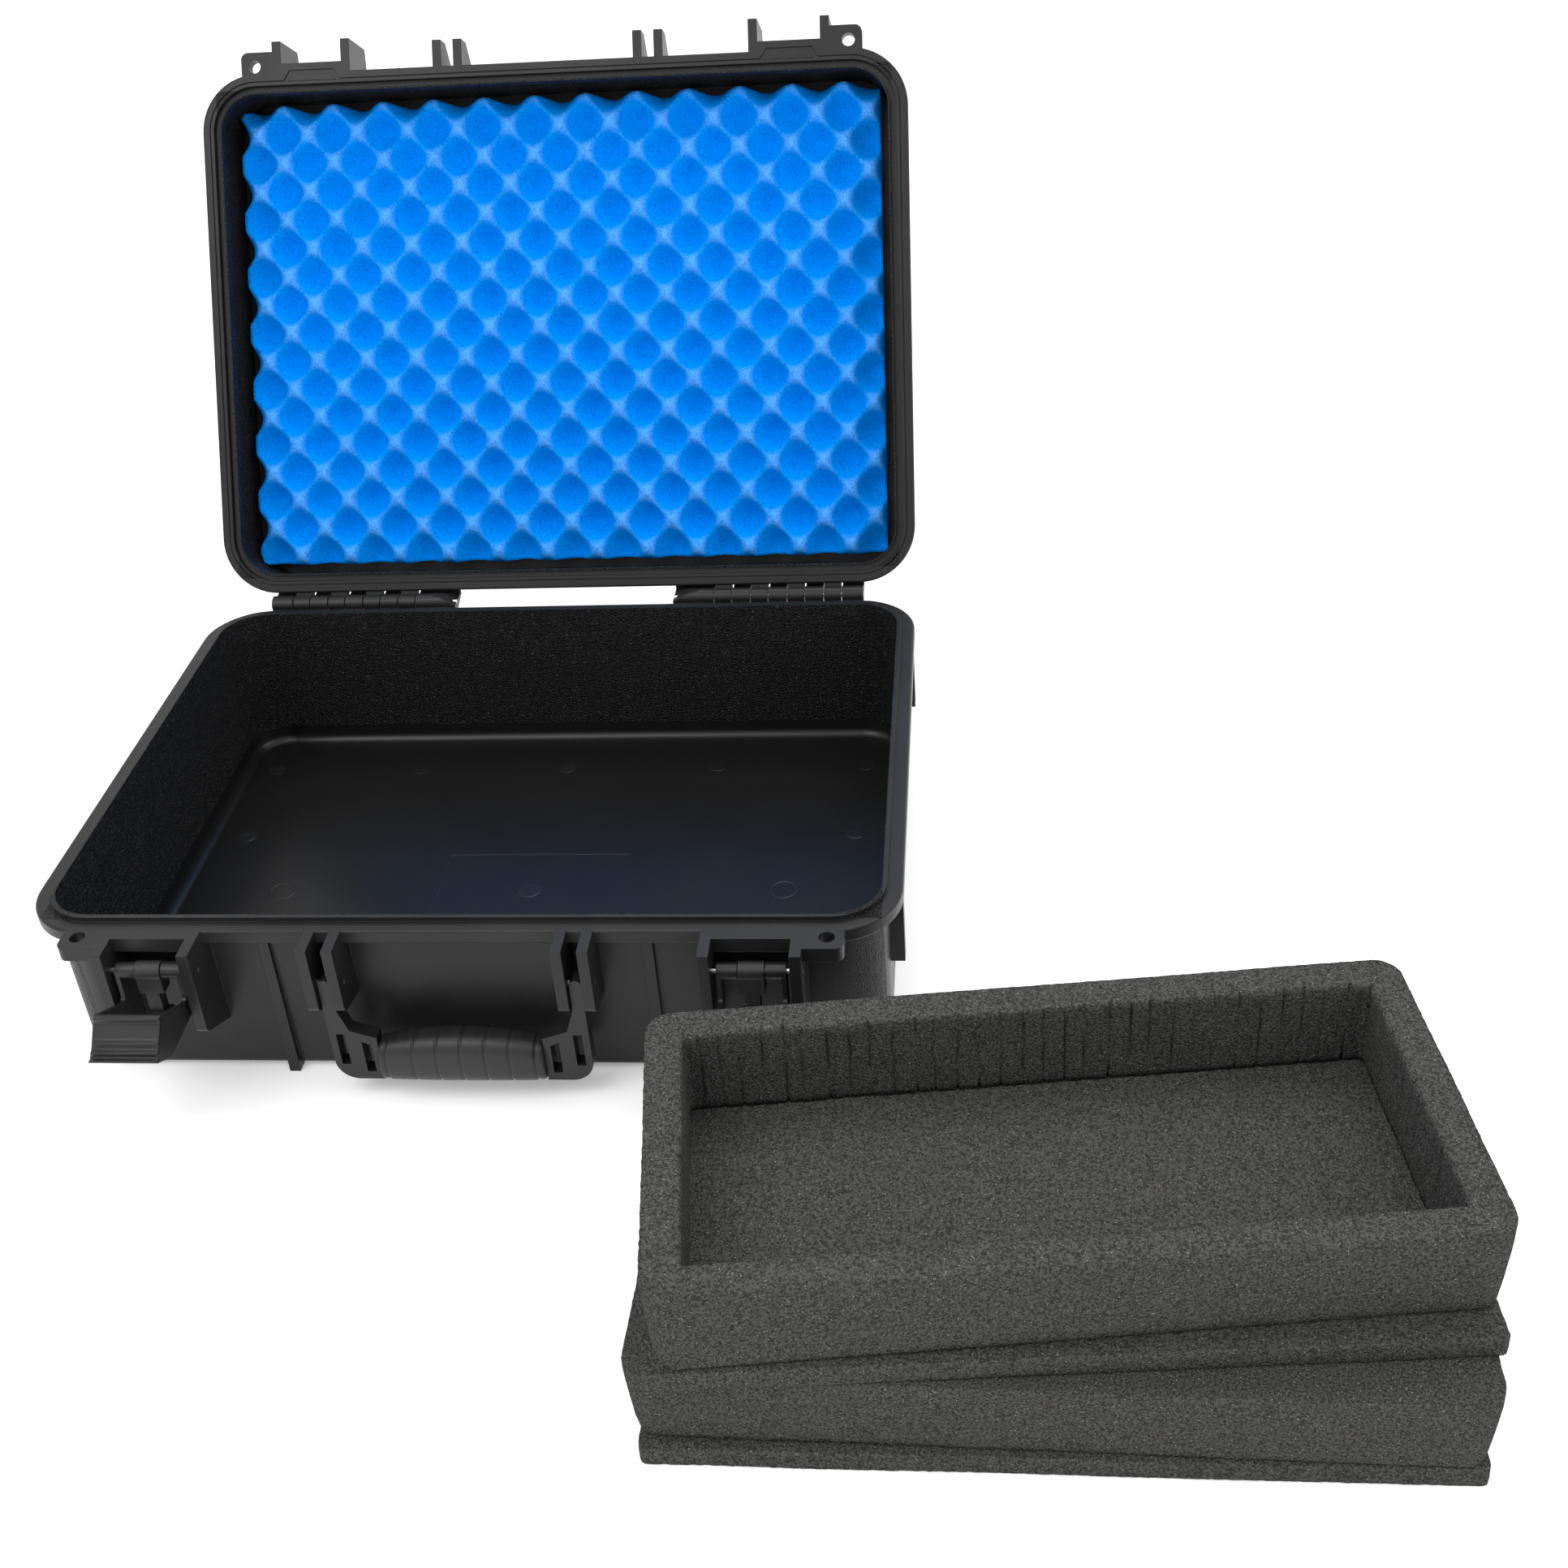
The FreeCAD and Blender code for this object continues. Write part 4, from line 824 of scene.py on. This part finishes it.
def make_floor_marks(material):
    """Row of discs at the back, one each side, rings in front and a disc in the middle."""
    back = [(x * MM, 131.0 * MM) for x in (-216.0, -109.0, 0.0, 109.0, 216.0)]
    sides = [(-212.0 * MM, 49.0 * MM), (212.0 * MM, 49.0 * MM)]
    for index, place in enumerate(back + sides):
        round_mark(f"floor_disc_{index}", place, 6.5 * MM, False, material)
    for index, place in enumerate([(-168.0 * MM, -13.0 * MM), (168.0 * MM, -13.0 * MM)]):
        round_mark(f"floor_ring_{index}", place, 9.0 * MM, True, material)
    round_mark("floor_disc_middle", (0.0, -13.0 * MM), 7.5 * MM, False, material)


def make_floor_panel(material):
    """Faint rectangular insert mark in the middle of the floor."""
    outline, outward = rounded_outline(*PANEL_SIZE, PANEL_CORNER, (8, 6, 6))
    points = []
    for inset, level in ((0.0, 0.0), (0.2, MARK_PROUD), (0.8, MARK_PROUD), (1.0, 0.0)):
        for point, direction in zip(outline, outward):
            flat = point - np.array(direction) * inset * MM
            points.append((flat[0], flat[1] + PANEL_Y, FLOOR_LEVEL - MARK_SINK + level))
    piece = new_piece("floor_panel_mark", points, ring_faces(4, len(outline)), material)
    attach(piece, "base")


# ---- Put it together ----

LID_CEILING = 156.9 * MM


def dress(material, *nodes):
    """Gives CAD nodes a material."""
    for node in nodes:
        mesh = frame["nodes"][node].data
        mesh.materials.clear()
        mesh.materials.append(material)


make_camera()
make_studio()
opening = lid_opening()
lid_up = tuple(opening.to_3x3() @ Vector((0, 0, -1)))
lid_ceiling = tuple(opening @ Vector((0, 0, LID_CEILING)))
dress(shell_plastic("base_plastic_look", 6.0 * MM, 17.5 * MM, (0, 0, 1), (0, 0, 0)), "base_shell")
dress(shell_plastic("lid_plastic_look", 0.0, 4.5 * MM, lid_up, lid_ceiling), "lid_shell")
nylon = hardware_plastic("latch_nylon_look", (0.0095, 0.0098, 0.0104), (0.017, 0.0175, 0.018), 0.38,
                         0.06 * MM)
dress(nylon, "latch_lever_left", "latch_lever_right", "handle_frame")
claw_nylon = hardware_plastic("claw_nylon_look", (0.012, 0.012, 0.0125), (0.024, 0.024, 0.025), 0.36,
                              0.25 * MM)
dress(claw_nylon, "latch_claw_left", "latch_claw_right")
for word in SIDES:
    make_lever_lip(word, nylon)
dress(pin_steel(), *[f"{kind}_pin_{side}" for kind in ("latch", "handle", "hinge") for side in SIDES])
dress(seal_rubber(), "lid_gasket")
peak_level = shut_box("lid_foam")[0][2]
peaks = Vector(lid_up).dot(opening @ Vector((0, 0, peak_level)))
# Blue foam: painted shade in the hollows, a painted highlight on the peaks.
make_egg_crate(foam_look("blue_foam_look", (0.0, 0.115, 0.52), (0.0, 0.235, 0.80),
                         (0.085, 0.36, 0.93), 1100.0, 0.4 * MM, (lid_up, peaks, DIMPLE_DEPTH)))
# Grey foam: its lightest tone is for the painted glints.
grey = foam_look("grey_foam_look", (0.031, 0.0306, 0.0298), (0.086, 0.0850, 0.0830),
                 (0.34, 0.34, 0.34), 1000.0, 0.7 * MM)
make_layer("foam_pad_base", grey, PAD_CORNER, PAD_PROFILE, 1.0)
make_layer("foam_block_lower", grey, BLOCK_CORNER, BLOCK_PROFILE, 3.0)
make_layer("foam_pad_upper", grey, PAD_CORNER, PAD_PROFILE, 5.0)
make_frame_layer(grey)
make_grip(grip_rubber())
floor_gloss = hardware_plastic("floor_mark_look", (0.007, 0.0072, 0.0078), (0.010, 0.0104, 0.011), 0.28,
                               0.01 * MM)
make_floor_marks(floor_gloss)
make_floor_panel(floor_gloss)
